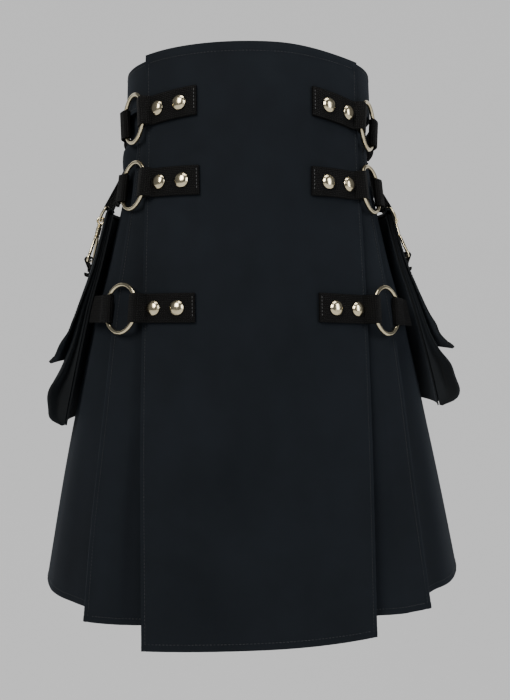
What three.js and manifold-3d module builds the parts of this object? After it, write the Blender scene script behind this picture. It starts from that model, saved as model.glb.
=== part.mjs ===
import * as THREE from 'three';
import { mergeVertices } from 'three/addons/utils/BufferGeometryUtils.js';
import Module from 'manifold-3d';

// Gothic kilt in its worn form, hollow, in millimetres.
// +Z up, the front apron faces -Y, the origin is the waist centre at half the waistband's height.
// A place on the cloth is z, then s, the arc round the body from the front centre, then out.

// Cloth, webbing and seams
const CLOTH = 1.5;
const WEBBING = 1.4;
const SEAM_GAP = 0.35;
const LAY_GAP = 0.45;
const STRAP_HEIGHT = 30;
const TAB_WIDTH = 18;

// Heights of the edges
const BAND_TOP = 25;
const BAND_BOTTOM = -25;
const SKIRT_TOP = -10;
const SKIRT_HEM = -563;
const APRON_TOP = 30;
const APRON_HEM = -578;
const APRON_WIDTH = 245;

// Body section at each height: an ellipse with its centre moved back by shift
const SECTIONS = [
  { z: 30, halfWidth: 140, halfDepth: 104.5, shift: 0 },
  { z: 0, halfWidth: 141, halfDepth: 105, shift: 0 },
  { z: -76, halfWidth: 143.5, halfDepth: 108, shift: 1.5 },
  { z: -183, halfWidth: 165, halfDepth: 120, shift: 10 },
  { z: -243, halfWidth: 180, halfDepth: 128, shift: 16 },
  { z: -399, halfWidth: 210, halfDepth: 143, shift: 25 },
  { z: -578, halfWidth: 240, halfDepth: 166, shift: 41 },
];

// Knife pleats of each side: arc from the front centre to the fold edge, at the waist and the hem,
// and how much the fold lifts on the left and the right
const PLEATS = [
  { waist: 145, hem: 186, left: 1.0, right: 1.1 },
  { waist: 211, hem: 322, left: 0.85, right: 1.4 },
  { waist: 277, hem: 458, left: 1.1, right: 0.95 },
  { waist: 343, hem: 590, left: 0.9, right: 0.9 },
];
const PLEAT_DEPTH = { waist: 12, hem: 16 };
const FOLD_RADIUS = { waist: 1.6, hem: 2.6 };
const FOLD_OUT = { waist: -2.8, hem: 13 };
const TUCK_OUT = { waist: -9.2, hem: -18 };
// Loose cloth that stands out on the left hip, round an arc place and between two heights
const HIP = { s: 175, width: 24, out: 9.5, top: -43, rise: 22, foot: -115, fall: 45 };
const PANEL_START = 100;
const START_OUT = { waist: -4.5, hem: -13 };

// Soft creases of the apron: a trough from (s, z) along its lean, in millimetres
const CREASES = [
  { s: -62, z: -120, lean: 0.42, length: 190, width: 22, depth: 2.4 },
  { s: 58, z: -122, lean: -0.5, length: 160, width: 20, depth: 2.0 },
  { s: -58, z: -258, lean: 0.28, length: 210, width: 26, depth: 2.6 },
  { s: 64, z: -262, lean: -0.34, length: 180, width: 24, depth: 2.2 },
  { s: -20, z: -395, lean: -0.1, length: 150, width: 30, depth: 1.8 },
];
// How far each edge of the apron swings out at its hem, below the height it starts from
const APRON_SWING = { left: 13, right: 4, from: -230 };
// Share by which each half of the apron narrows towards its hem
const APRON_TAPER = { left: 0.05, right: 0.025, from: -262 };
// Drop of the apron's top right corner, from one arc place over a width
const TOP_DROP = { drop: 5, from: 20, width: 90 };

// Strap rows: height of the left and right strap at its front end, how far each drops to its ring,
// and the arc place of the front end
const STRAP_ROWS = [
  { row: 1, left: -28, leftDrop: 6, right: -28, rightDrop: 12, end: 59.5, ringOut: 4.2 },
  { row: 2, left: -110, leftDrop: -2, right: -111, rightDrop: 1, end: 57.5, ringOut: 4.6 },
  { row: 3, left: -240, leftDrop: 0, right: -241, rightDrop: 4, end: 63, ringOut: 8.8 },
];
const SNAP_STEPS = [18, 44];
const RING_STEP = 83;
const RING_RADIUS = 25.4;
const RING_WIRE = 2.3;
// Turn by which each ring's rear half leans in to the hip, in degrees
const RING_LEAN = 6;
const WEB_CLEAR = 0.35;
// Where a strap leaves the apron before its ring's centre, and how far its two layers stay apart
const STRAP_LEAVES = 31;
const LOOP_REACH = 9;
// Rear strap: where it starts past its ring's centre, and its length
const KEEPER = { start: 34, length: 32 };
// Least stand of what lies over the waistband and the skirt
const LEAST_OUT = 0.3;
const SNAP_RADIUS = 7.5;
const SNAP_HEIGHT = 4;
const SNAP_SEAT = 0.5;

// Cargo pocket: its size, and the depth and side tuck of its bag at each length below its top
const POCKET_WIDTH = 185;
const POCKET_TOP = -132;
const POCKET_EDGE = 0.434;
const POCKET_LIFT = 5.4;
const POCKET_BAG = [
  { down: 0, depth: 5, tuck: 2 },
  { down: 45, depth: 5.5, tuck: 3 },
  { down: 95, depth: 7, tuck: 4.5 },
  { down: 145, depth: 9.5, tuck: 6 },
  { down: 176, depth: 13, tuck: 7 },
  { down: 203, depth: 18, tuck: 7 },
  { down: 222, depth: 19, tuck: 6 },
  { down: 236, depth: 15.5, tuck: 4 },
  { down: 246, depth: 9.5, tuck: 2.4 },
  { down: 252, depth: 3.6, tuck: 0.6 },
];
const POCKET_COLUMNS = [5, 30, 60, 92.5, 125, 155, 180];
const POCKET_CROWN = 3;
// Lengths down the bag over which its lower corners start and stop to stand out, and its flare ends
const SAG = { from: 150, over: 80, until: 254, fade: 12 };
const FLARE_END = 250;
const FLAP_END = 176;
const FLAP_LIFT = CLOTH + 0.8;
const FLAP_ROWS = [8, 45, 95, 145, FLAP_END];
const POCKETS = [
  { name: 'left', side: -1, drop: 2, upright: 0.94, flare: 0, curl: 13, sag: 7, hangerLift: 0.9 },
  { name: 'right', side: 1, drop: 2, upright: 0.88, flare: 8, curl: 11, sag: 10, hangerLift: -1 },
];

// Fittings that carry a pocket
const FITTING_WIRE = 1.75;
// D ring: its bar's place over the pocket, and how far its bow tips outwards
const D_RING = { halfWidth: 13.4, height: 17, down: -13, out: 8.5, tip: 22 };
// Arc from the pocket's front edge to each of its two hooks
const HOOK_PLACES = [34, 151];
const HANGER = { width: 20, top: -67, leaves: -78, slack: 0.6 };
const HOOK = { eyeRadius: 3.9, eyeWire: 1.3, barrel: 3, barrelLength: 17, halfWidth: 14, neck: 4 };
const TAB = { topDown: 54, shoulder: 63, shoulderLift: 1.3, upperEnd: 67, endDown: 70, foldClear: 2.4 };
// Curled end of a tab: place past its end and stand of the middle surface
const TAB_CURL = [
  { past: -1, lift: 5.2 },
  { past: 2.2, lift: 3.7 },
  { past: 2.4, lift: 1.6 },
  { past: -2, lift: 0 },
];

const BLACK_DRILL = new THREE.MeshStandardMaterial({ color: 0x10141c, roughness: 0.92, metalness: 0 });
const BLACK_POCKET = new THREE.MeshStandardMaterial({ color: 0x0d0f13, roughness: 0.9, metalness: 0 });
const BLACK_WEBBING = new THREE.MeshStandardMaterial({ color: 0x0c0c0d, roughness: 0.7, metalness: 0 });
const SILVER = new THREE.MeshStandardMaterial({ color: 0xd6d2c6, roughness: 0.2, metalness: 1 });

const wasm = await Module();
wasm.setup();

const kilt = new THREE.Group();
kilt.name = 'kilt';

function signedVolume(geometry) {
  const { position } = geometry.attributes;
  const order = geometry.index.array;
  const corner = [0, 1, 2].map(() => new THREE.Vector3());
  let sum = 0;
  for (let i = 0; i < order.length; i += 3) {
    corner.forEach((v, k) => v.fromBufferAttribute(position, order[i + k]));
    sum += corner[0].dot(corner[1].cross(corner[2])) / 6;
  }
  return sum;
}

// Adds a sub-part with its faces turned outwards
function addPiece(name, geometry, material) {
  if (signedVolume(geometry) < 0) {
    geometry.setIndex(Array.from(geometry.index.array).reverse());
    geometry.computeVertexNormals();
  }
  const mesh = new THREE.Mesh(geometry, material);
  mesh.name = name;
  kilt.add(mesh);
  return mesh;
}

function mix(a, b, t) {
  return a + (b - a) * t;
}

function smooth(t) {
  const k = Math.min(1, Math.max(0, t));
  return k * k * (3 - 2 * k);
}

function spaced(from, to, count) {
  return Array.from({ length: count }, (_, i) => mix(from, to, i / (count - 1)));
}

// Smooth value of one column of a table whose key column runs one way
function readTable(table, key, column, at) {
  const slope = (i) => {
    const a = table[Math.max(0, i - 1)];
    const b = table[Math.min(table.length - 1, i + 1)];
    return (b[column] - a[column]) / (b[key] - a[key] || 1);
  };
  const sign = Math.sign(table[table.length - 1][key] - table[0][key]);
  let i = 0;
  while (i < table.length - 2 && (at - table[i + 1][key]) * sign > 0) i += 1;
  const span = table[i + 1][key] - table[i][key];
  if (span === 0) return table[i + 1][column];
  const t = Math.min(1, Math.max(0, (at - table[i][key]) / span));
  const rise = 3 * t ** 2 - 2 * t ** 3;
  const leaving = t ** 3 - 2 * t ** 2 + t;
  const arriving = t ** 3 - t ** 2;
  return mix(table[i][column], table[i + 1][column], rise)
    + span * (leaving * slope(i) + arriving * slope(i + 1));
}

// Half of the body section at one height, with the arc length at each step
const ARC_STEPS = 240;
const sectionCache = new Map();
function sectionAt(z) {
  const key = z.toFixed(3);
  if (sectionCache.has(key)) return sectionCache.get(key);
  const section = {
    a: readTable(SECTIONS, 'z', 'halfWidth', z),
    b: readTable(SECTIONS, 'z', 'halfDepth', z),
    c: readTable(SECTIONS, 'z', 'shift', z),
    arc: [0],
  };
  for (let i = 1; i <= ARC_STEPS; i += 1) {
    const t = ((i - 0.5) / ARC_STEPS) * Math.PI;
    const step = Math.hypot(section.a * Math.cos(t), section.b * Math.sin(t)) * (Math.PI / ARC_STEPS);
    section.arc.push(section.arc[i - 1] + step);
  }
  section.half = section.arc[ARC_STEPS];
  sectionCache.set(key, section);
  return section;
}

// Angle round the section, from the front, where the arc length is s
function angleAt(section, s) {
  const girth = 2 * section.half;
  let rest = ((s % girth) + girth) % girth;
  const mirrored = rest > section.half;
  if (mirrored) rest = girth - rest;
  let low = 0;
  let high = ARC_STEPS;
  while (high - low > 1) {
    const middle = (low + high) >> 1;
    if (section.arc[middle] <= rest) low = middle;
    else high = middle;
  }
  const part = (rest - section.arc[low]) / (section.arc[high] - section.arc[low]);
  const angle = ((low + part) / ARC_STEPS) * Math.PI;
  return mirrored ? -angle : angle;
}

function place(z, s, out) {
  const section = sectionAt(z);
  const angle = angleAt(section, s);
  const normal = new THREE.Vector2(Math.sin(angle) / section.a, -Math.cos(angle) / section.b).normalize();
  return new THREE.Vector3(
    section.a * Math.sin(angle) + normal.x * out,
    section.c - section.b * Math.cos(angle) + normal.y * out,
    z,
  );
}

// Directions along the arc, up the cloth and out of it at one place
function frameAt(z, s, out) {
  const at = place(z, s, out);
  const along = place(z, s + 1, out).sub(place(z, s - 1, out)).normalize();
  const rise = place(z + 1, s, out).sub(place(z - 1, s, out));
  const normal = along.clone().cross(rise).normalize();
  const up = normal.clone().cross(along).normalize();
  return { at, along, up, normal };
}

// How far the skirt has opened at a height: 0 at the waist, 1 at the hem
function openness(z) {
  const waist = sectionAt(0).half;
  const hem = sectionAt(SKIRT_HEM).half;
  return Math.max(0, (sectionAt(z).half - waist) / (hem - waist));
}

function vertexDirection(before, at, after) {
  const sum = new THREE.Vector3();
  if (before) sum.add(at.clone().sub(before).normalize());
  if (after) sum.add(after.clone().sub(at).normalize());
  return sum.normalize();
}

// Closed wall of even thickness on a grid of middle points: rows run down, columns run along the arc
function wallGeometry(grid, thickness) {
  const rows = grid.length;
  const cols = grid[0].length;
  const positions = [];
  const index = [];
  for (const face of [0.5, -0.5]) {
    for (let r = 0; r < rows; r += 1) {
      for (let c = 0; c < cols; c += 1) {
        const at = grid[r][c];
        const alongDir = vertexDirection(grid[r][c - 1], at, grid[r][c + 1]);
        const downDir = vertexDirection(grid[r - 1]?.[c], at, grid[r + 1]?.[c]);
        const normal = downDir.cross(alongDir).normalize();
        positions.push(...at.clone().addScaledVector(normal, face * thickness).toArray());
      }
    }
  }
  const outer = (r, c) => r * cols + c;
  const inner = (r, c) => rows * cols + r * cols + c;
  const quad = (a, b, c, d) => index.push(a, b, c, a, c, d);
  for (let r = 0; r < rows - 1; r += 1) {
    for (let c = 0; c < cols - 1; c += 1) {
      quad(outer(r, c), outer(r + 1, c), outer(r + 1, c + 1), outer(r, c + 1));
      quad(inner(r, c), inner(r, c + 1), inner(r + 1, c + 1), inner(r + 1, c));
    }
    quad(outer(r, 0), inner(r, 0), inner(r + 1, 0), outer(r + 1, 0));
    quad(outer(r, cols - 1), outer(r + 1, cols - 1), inner(r + 1, cols - 1), inner(r, cols - 1));
  }
  for (let c = 0; c < cols - 1; c += 1) {
    quad(outer(0, c), outer(0, c + 1), inner(0, c + 1), inner(0, c));
    quad(outer(rows - 1, c), inner(rows - 1, c), inner(rows - 1, c + 1), outer(rows - 1, c + 1));
  }
  return closedGeometry(positions, index);
}

function closedGeometry(positions, index) {
  const geometry = new THREE.BufferGeometry();
  geometry.setAttribute('position', new THREE.Float32BufferAttribute(positions, 3));
  geometry.setIndex(index);
  geometry.computeVertexNormals();
  return geometry;
}

// Closed tube round a path; a looped path joins its end to its start
function tubeGeometry(points, radius, sides, looped) {
  const positions = [];
  const index = [];
  const count = points.length;
  const wrap = (i) => (looped ? points[(i + count) % count] : points[i]);
  const planeNormal = new THREE.Vector3();
  for (let i = 0; i < count; i += 1) {
    planeNormal.add(points[i].clone().cross(points[(i + 1) % count]));
  }
  planeNormal.normalize();
  points.forEach((at, i) => {
    const tangent = vertexDirection(wrap(i - 1), at, wrap(i + 1));
    const side = tangent.clone().cross(planeNormal).normalize();
    for (let k = 0; k < sides; k += 1) {
      const angle = (k / sides) * 2 * Math.PI;
      const corner = at.clone()
        .addScaledVector(side, radius * Math.cos(angle))
        .addScaledVector(planeNormal, radius * Math.sin(angle));
      positions.push(...corner.toArray());
    }
  });
  const spans = looped ? count : count - 1;
  for (let i = 0; i < spans; i += 1) {
    for (let k = 0; k < sides; k += 1) {
      const a = i * sides + k;
      const b = i * sides + ((k + 1) % sides);
      const c = ((i + 1) % count) * sides + ((k + 1) % sides);
      const d = ((i + 1) % count) * sides + k;
      index.push(a, c, b, a, d, c);
    }
  }
  if (!looped) {
    for (let k = 1; k < sides - 1; k += 1) {
      const last = (count - 1) * sides;
      index.push(0, k, k + 1, last, last + k + 1, last + k);
    }
  }
  return closedGeometry(positions, index);
}

function toManifold(geometry) {
  const plain = geometry.clone();
  plain.deleteAttribute('normal');
  if (plain.attributes.uv) plain.deleteAttribute('uv');
  const merged = mergeVertices(plain, 1e-4);
  return new wasm.Manifold(new wasm.Mesh({
    numProp: 3,
    vertProperties: new Float32Array(merged.attributes.position.array),
    triVerts: new Uint32Array(merged.index.array),
  }));
}

function joined(geometries) {
  const solid = geometries.map(toManifold).reduce((sum, next) => sum.add(next));
  const mesh = solid.getMesh();
  return closedGeometry(Array.from(mesh.vertProperties), Array.from(mesh.triVerts));
}

// Waistband: one strip round the top, its ends meeting behind the apron
function addWaistband() {
  const half = sectionAt(0).half - SEAM_GAP / 2;
  const columns = spaced(-1, 1, 65);
  const grid = spaced(BAND_TOP, BAND_BOTTOM, 3).map((z) => columns.map((k) => {
    const scale = sectionAt(z).half / sectionAt(0).half;
    return place(z, sectionAt(z).half + k * half * scale, -0.5 * CLOTH);
  }));
  addPiece('waistband', wallGeometry(grid, CLOTH), BLACK_DRILL);
}

// Rounded way from one leg into the next, as points of a quadratic curve
function roundedCorner(before, corner, after, reach, steps) {
  const from = corner.clone().lerp(before, reach / corner.distanceTo(before));
  const to = corner.clone().lerp(after, reach / corner.distanceTo(after));
  return steps.map((t) => new THREE.Vector2(
    (1 - t) ** 2 * from.x + 2 * t * (1 - t) * corner.x + t ** 2 * to.x,
    (1 - t) ** 2 * from.y + 2 * t * (1 - t) * corner.y + t ** 2 * to.y,
  ));
}

// How far the loose cloth of the left hip stands out
function hipFill(z, s, side) {
  if (side > 0) return 0;
  const across = (s - HIP.s) / HIP.width;
  const fade = smooth((HIP.top - z) / HIP.rise) * smooth((z - HIP.foot) / HIP.fall);
  return HIP.out * fade * Math.exp(-across * across);
}

// Section of the pleated cloth of one side, as (s, out) points from the front seam to the centre back
function pleatSection(z, side) {
  const open = openness(z);
  const radius = mix(FOLD_RADIUS.waist, FOLD_RADIUS.hem, open);
  const depth = mix(PLEAT_DEPTH.waist, PLEAT_DEPTH.hem, open);
  const low = mix(TUCK_OUT.waist, TUCK_OUT.hem, open);
  const corners = [new THREE.Vector2(PANEL_START, mix(START_OUT.waist, START_OUT.hem, open))];
  for (const pleat of PLEATS) {
    const s = mix(pleat.waist, pleat.hem, open);
    const lift = mix(1, side < 0 ? pleat.left : pleat.right, open);
    const high = FOLD_OUT.waist + (FOLD_OUT.hem - FOLD_OUT.waist) * open * lift;
    corners.push(new THREE.Vector2(s, high));
    corners.push(new THREE.Vector2(s, high - 2 * radius));
    corners.push(new THREE.Vector2(s - depth, low + 2 * radius));
    corners.push(new THREE.Vector2(s - depth, low));
  }
  const half = sectionAt(z).half;
  corners.push(new THREE.Vector2(half, mix(TUCK_OUT.waist + 2, 2, open)));

  const points = [corners[0]];
  for (let i = 1; i < corners.length; i += 4) {
    const previous = points[points.length - 1];
    const isLast = i + 1 >= corners.length;
    const target = corners[i];
    for (const t of [0.28, 0.55, 0.8]) {
      const point = previous.clone().lerp(target, t);
      point.y += hipFill(z, point.x, side);
      points.push(point);
    }
    if (isLast) {
      points.push(target);
      break;
    }
    points.push(...roundedCorner(previous, corners[i], corners[i + 1], radius, [0, 0.5, 1]));
    points.push(...roundedCorner(corners[i], corners[i + 1], corners[i + 2], radius, [0.5, 1]));
    points.push(...roundedCorner(corners[i + 1], corners[i + 2], corners[i + 3], radius, [0, 0.5, 1]));
    points.push(...roundedCorner(corners[i + 2], corners[i + 3], corners[i + 4], radius, [0.5, 1]));
  }
  return points;
}

const SKIRT_ROWS = [0, 0.06, 0.1, 0.16, 0.27, 0.38, 0.5, 0.62, 0.74, 0.87, 1];
const POINTS_A_PLEAT = 13;
const RETURN_POINT = 8;

// The side parts end on the hidden return of the last pleat, where the centre back part begins
function addSkirt() {
  const heights = SKIRT_ROWS.map((k) => mix(SKIRT_TOP, SKIRT_HEM, k));
  const cut = 1 + (PLEATS.length - 1) * POINTS_A_PLEAT + RETURN_POINT;
  const seam = (points, from, to) => {
    const gap = points[from].distanceTo(points[to]);
    return points[from].clone().lerp(points[to], 0.5 * SEAM_GAP / gap + 0.5);
  };
  for (const [name, side] of [['skirt_left', -1], ['skirt_right', 1]]) {
    const grid = heights.map((z) => {
      const points = pleatSection(z, side);
      const row = [...points.slice(0, cut), seam(points, cut, cut - 1)];
      row[0] = new THREE.Vector2(row[0].x + SEAM_GAP / 2, row[0].y);
      const placed = row.map((p) => place(z, side * p.x, p.y));
      return side > 0 ? placed : placed.reverse();
    });
    addPiece(name, wallGeometry(grid, CLOTH), BLACK_DRILL);
  }
  const backHalf = (z, side) => {
    const points = pleatSection(z, side);
    return [seam(points, cut - 1, cut), ...points.slice(cut)].map((p) => place(z, side * p.x, p.y));
  };
  const backGrid = heights.map((z) => [...backHalf(z, 1), ...backHalf(z, -1).slice(0, -1).reverse()]);
  addPiece('skirt_back', wallGeometry(backGrid, CLOTH), BLACK_DRILL);
}

function addUnderApron() {
  const edge = PANEL_START - SEAM_GAP / 2;
  const grid = SKIRT_ROWS.map((k) => {
    const z = mix(SKIRT_TOP, SKIRT_HEM, k);
    const out = mix(START_OUT.waist, START_OUT.hem, openness(z));
    return spaced(-edge, edge, 8).map((s) => place(z, s, out));
  });
  addPiece('under_apron', wallGeometry(grid, CLOTH), BLACK_DRILL);
}

// Depth of the apron's soft creases at one place
function creaseDepth(z, s) {
  return CREASES.reduce((sum, crease) => {
    const down = crease.z - z;
    const along = down / crease.length;
    if (along < -0.15 || along > 1.15) return sum;
    const middle = crease.s + crease.lean * down;
    const across = (s - middle) / crease.width;
    const fade = smooth((along + 0.15) / 0.35) * smooth((1.15 - along) / 0.6);
    return sum + crease.depth * fade * Math.exp(-across * across);
  }, 0);
}

// Middle surface of the apron; what lies on it is placed from the same function
function apronOut(z, s) {
  const edge = Math.abs(s) / (APRON_WIDTH / 2);
  const down = smooth((APRON_SWING.from - z) / (APRON_SWING.from - APRON_HEM));
  const swing = s < 0 ? APRON_SWING.left : APRON_SWING.right;
  const rest = LAY_GAP + 0.5 * CLOTH;
  return rest + swing * down * Math.min(1.2, edge) ** 2 - creaseDepth(z, s) * smooth((1.1 - edge) * 3);
}

const APRON_COLUMNS = spaced(-APRON_WIDTH / 2, APRON_WIDTH / 2, 17);
const APRON_ROWS = spaced(APRON_TOP, APRON_HEM, 17);

// Point of the apron's middle surface for one of its columns at one of its rows
function apronPlace(z, s) {
  const taper = s < 0 ? APRON_TAPER.left : APRON_TAPER.right;
  const across = s * (1 - taper * smooth((APRON_TAPER.from - z) / (APRON_TAPER.from - APRON_HEM)));
  const drop = TOP_DROP.drop * smooth(z / APRON_TOP) * smooth((s - TOP_DROP.from) / TOP_DROP.width);
  return place(z - drop, across, apronOut(z, s));
}

function addApron() {
  const grid = APRON_ROWS.map((z) => APRON_COLUMNS.map((s) => apronPlace(z, s)));
  addPiece('front_apron', wallGeometry(grid, CLOTH), BLACK_DRILL);
}

// Point over the apron's straight stretch between two of its rows, moved out by lift
function overApron(z, s, lift) {
  const next = APRON_ROWS.findIndex((row) => row <= z);
  const above = APRON_ROWS[next - 1];
  const below = APRON_ROWS[next];
  const end = place(below, s, apronOut(below, s));
  const at = place(above, s, apronOut(above, s)).lerp(end, (above - z) / (above - below));
  return at.addScaledVector(frameAt(z, s, 0).normal, 0.5 * CLOTH + lift);
}

// Arc places between two ends, with each of the apron's columns that lies between them
function apronStops(from, to) {
  return [from, ...APRON_COLUMNS.filter((s) => s > from + 3 && s < to - 3), to];
}

// Drop of one strap from its front end to its ring
function strapDrop(row, side) {
  return side < 0 ? row.leftDrop : row.rightDrop;
}

// How far above its ring's height a strap's middle line lies at arc place s
function strapRise(row, side, s) {
  return strapDrop(row, side) * (1 - (s - row.end) / RING_STEP);
}

// Ring of one strap: its height, its centre and its directions, turned to follow the strap
function ringFrame(row, side) {
  const drop = strapDrop(row, side);
  const z = (side < 0 ? row.left : row.right) - drop;
  const { at, along, up, normal } = frameAt(z, side * (row.end + RING_STEP), row.ringOut);
  const turn = side * Math.atan2(drop, RING_STEP);
  along.applyAxisAngle(normal, -turn);
  up.applyAxisAngle(normal, -turn);
  const lean = side * THREE.MathUtils.degToRad(RING_LEAN);
  along.applyAxisAngle(up, lean);
  normal.applyAxisAngle(up, lean);
  return { z, at, along, up, normal };
}

// Webbing doubled round a ring's wire. toward is -1 for the strap in front of the ring, 1 for behind it
function doubledWebbing(ring, side, toward, lower, upper) {
  const loop = RING_WIRE + WEB_CLEAR + WEBBING / 2;
  const halfHeight = STRAP_HEIGHT / 2;
  const wireAt = Math.sqrt((RING_RADIUS - RING_WIRE) ** 2 - halfHeight ** 2) + RING_WIRE - WEB_CLEAR;
  const away = ring.along.clone().multiplyScalar(side * toward);
  return [halfHeight, -halfHeight].map((height) => {
    const wire = ring.at.clone().addScaledVector(away, wireAt).addScaledVector(ring.up, height);
    const z = ring.z + height;
    const turn = spaced(-90, 90, 5).map((degrees) => {
      const angle = THREE.MathUtils.degToRad(degrees);
      return wire.clone()
        .addScaledVector(away, -loop * Math.cos(angle))
        .addScaledVector(ring.normal, loop * Math.sin(angle));
    });
    const past = wire.clone().addScaledVector(away, LOOP_REACH);
    return [
      ...lower.map((p) => p(z)),
      past.clone().addScaledVector(ring.normal, -loop),
      ...turn,
      past.clone().addScaledVector(ring.normal, loop),
      ...[...upper].reverse().map((p) => p(z)),
    ];
  });
}

function webbingPiece(name, grid) {
  addPiece(name, wallGeometry(grid, WEBBING), BLACK_WEBBING);
}

function addStraps() {
  for (const row of STRAP_ROWS) {
    for (const [name, side] of [['left', -1], ['right', 1]]) {
      const ring = ringFrame(row, side);
      const label = `${name}_${row.row}`;
      const onApron = (lift) => (s) => (z) => (
        overApron(z + strapRise(row, side, s), side * s, WEB_CLEAR + lift)
      );
      const lowLayer = onApron(0.5 * WEBBING);
      const highLayer = onApron(1.5 * WEBBING + WEB_CLEAR);
      const stops = apronStops(row.end, row.end + RING_STEP - STRAP_LEAVES);
      const [low, high] = [stops.map(lowLayer), stops.map(highLayer)];
      webbingPiece(`strap_${label}`, doubledWebbing(ring, side, -1, low, high));
      addRing(label, ring);
      addSnaps(label, row, side, ring, highLayer);
      addKeeper(label, row, side, ring);
    }
  }
}

function addKeeper(label, row, side, ring) {
  const from = row.end + RING_STEP + KEEPER.start;
  const stops = spaced(from + KEEPER.length, from, 3);
  const onSkirt = (lift) => (s) => (z) => (
    place(z + strapRise(row, side, s), side * s, skirtOut(z) + WEB_CLEAR + lift)
  );
  const low = stops.map(onSkirt(0.5 * WEBBING));
  const high = stops.map(onSkirt(1.5 * WEBBING + WEB_CLEAR));
  webbingPiece(`keeper_${label}`, doubledWebbing(ring, side, 1, low, high));
}

// Outermost face of the band or the pleats at one height
function skirtOut(z) {
  const pleats = mix(FOLD_OUT.waist, FOLD_OUT.hem, openness(z)) + CLOTH;
  return Math.max(LEAST_OUT, pleats);
}

function addRing(label, ring) {
  const mesh = addPiece(`ring_${label}`, new THREE.TorusGeometry(RING_RADIUS, RING_WIRE, 6, 26), SILVER);
  const matrix = new THREE.Matrix4().makeBasis(ring.along, ring.up, ring.normal);
  mesh.quaternion.setFromRotationMatrix(matrix);
  mesh.position.copy(ring.at);
}

// Domed cap of a snap, its flat side on the strap
function addSnaps(label, row, side, ring, highLayer) {
  const profile = [
    [0, 0], [SNAP_RADIUS - 1, 0], [SNAP_RADIUS, 0.8], [SNAP_RADIUS * 0.86, 0.5 * SNAP_HEIGHT],
    [SNAP_RADIUS * 0.5, 0.88 * SNAP_HEIGHT], [0, SNAP_HEIGHT],
  ].map(([r, h]) => new THREE.Vector2(r, h));
  SNAP_STEPS.forEach((step, i) => {
    const s = row.end + step;
    const normal = frameAt(ring.z, side * s, 0).normal;
    const mesh = addPiece(`snap_${label}_${i + 1}`, new THREE.LatheGeometry(profile, 14), SILVER);
    mesh.quaternion.setFromUnitVectors(new THREE.Vector3(0, 1, 0), normal);
    mesh.position.copy(highLayer(s)(ring.z)).addScaledVector(normal, 0.5 * WEBBING + SNAP_SEAT);
  });
}

// Place on a pocket: down from its top, across from its front edge, out from its back panel
function pocketPlace(pocket, down, across, out) {
  const z = POCKET_TOP - pocket.drop - down * pocket.upright;
  const s = POCKET_EDGE * sectionAt(z).half + across;
  const lean = pocket.flare * smooth(down / FLARE_END);
  return place(z, pocket.side * s, skirtOut(z) + POCKET_LIFT + lean + out);
}

// How far the bag's front stands out from the back panel
function bagFront(pocket, down, across) {
  const depth = readTable(POCKET_BAG, 'down', 'depth', down);
  const off = Math.abs(across - POCKET_WIDTH / 2) / (POCKET_WIDTH / 2);
  const crown = POCKET_CROWN * (1 - off * off) * smooth(down / 120);
  const sagging = smooth((down - SAG.from) / SAG.over) * smooth((SAG.until - down) / SAG.fade);
  return depth + crown + pocket.sag * off ** 4 * sagging;
}

function addPocketBack(pocket) {
  const columns = [0, ...POCKET_COLUMNS, POCKET_WIDTH];
  const grid = POCKET_BAG.map(({ down }) => (
    columns.map((across) => pocketPlace(pocket, down, across, 0))
  ));
  addPiece(`pocket_back_${pocket.name}`, wallGeometry(grid, CLOTH), BLACK_POCKET);
}

// The bag: a bellows side, the front and the other bellows side in one hollow wall, open at the top
function addPocketBag(pocket) {
  const seat = CLOTH + LAY_GAP;
  const grid = POCKET_BAG.map(({ down, tuck }) => {
    const front = (across) => bagFront(pocket, down, across);
    const edge = front(1);
    const bellows = [
      [1, seat], [1 + 0.8 * tuck, mix(seat, edge, 0.35)], [1 + tuck, mix(seat, edge, 0.55)],
      [1, mix(seat, edge, 0.9)], [2, edge],
    ];
    const points = [
      ...bellows,
      ...POCKET_COLUMNS.map((across) => [across, front(across)]),
      ...bellows.map(([across, out]) => [POCKET_WIDTH - across, out]).reverse(),
    ];
    return points.map(([across, out]) => pocketPlace(pocket, down, across, out));
  });
  addPiece(`pocket_bag_${pocket.name}`, wallGeometry(grid, CLOTH), BLACK_POCKET);
}

// How far the flap's middle surface stands out, its lower corners curled away from the bag
function flapOut(pocket, down, across) {
  const off = Math.abs(across - POCKET_WIDTH / 2) / (POCKET_WIDTH / 2);
  const curl = pocket.curl * off ** 4 * (Math.max(0, down) / FLAP_END) ** 3;
  return bagFront(pocket, Math.max(0, down), across) + FLAP_LIFT + curl;
}

function addPocketFlap(pocket) {
  const columns = [-1.5, ...POCKET_COLUMNS, POCKET_WIDTH + 1.5];
  const top = [
    { down: -2, share: 0 }, { down: -6, share: 0.3 }, { down: -6.5, share: 0.75 }, { down: -3, share: 1 },
  ];
  const over = top.map(({ down, share }) => columns.map((across) => (
    pocketPlace(pocket, down, across, share * flapOut(pocket, 0, across))
  )));
  const fall = FLAP_ROWS.map((down) => columns.map((across) => (
    pocketPlace(pocket, down, across, flapOut(pocket, down, across))
  )));
  addPiece(`pocket_flap_${pocket.name}`, wallGeometry([...over, ...fall], CLOTH), BLACK_POCKET);
}

// Frame on a pocket where a hook hangs: at, along the arc, up the pocket and out of it
function pocketFrame(pocket, across, down, out) {
  const at = pocketPlace(pocket, down, across, out);
  const along = pocketPlace(pocket, down, across + 1, out).sub(at).normalize();
  const up = pocketPlace(pocket, down - 1, across, out).sub(at).normalize();
  const normal = along.clone().cross(up).multiplyScalar(pocket.side).normalize();
  return { at, along, up, normal };
}

// Frame of a D ring's bar, its up direction turned so that the bow tips outwards
function barFrame(pocket, across) {
  const { at, along, up, normal } = pocketFrame(pocket, across, D_RING.down, D_RING.out);
  const tip = THREE.MathUtils.degToRad(D_RING.tip);
  up.multiplyScalar(Math.cos(tip)).addScaledVector(normal, -Math.sin(tip));
  return { at, along, up };
}

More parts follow.
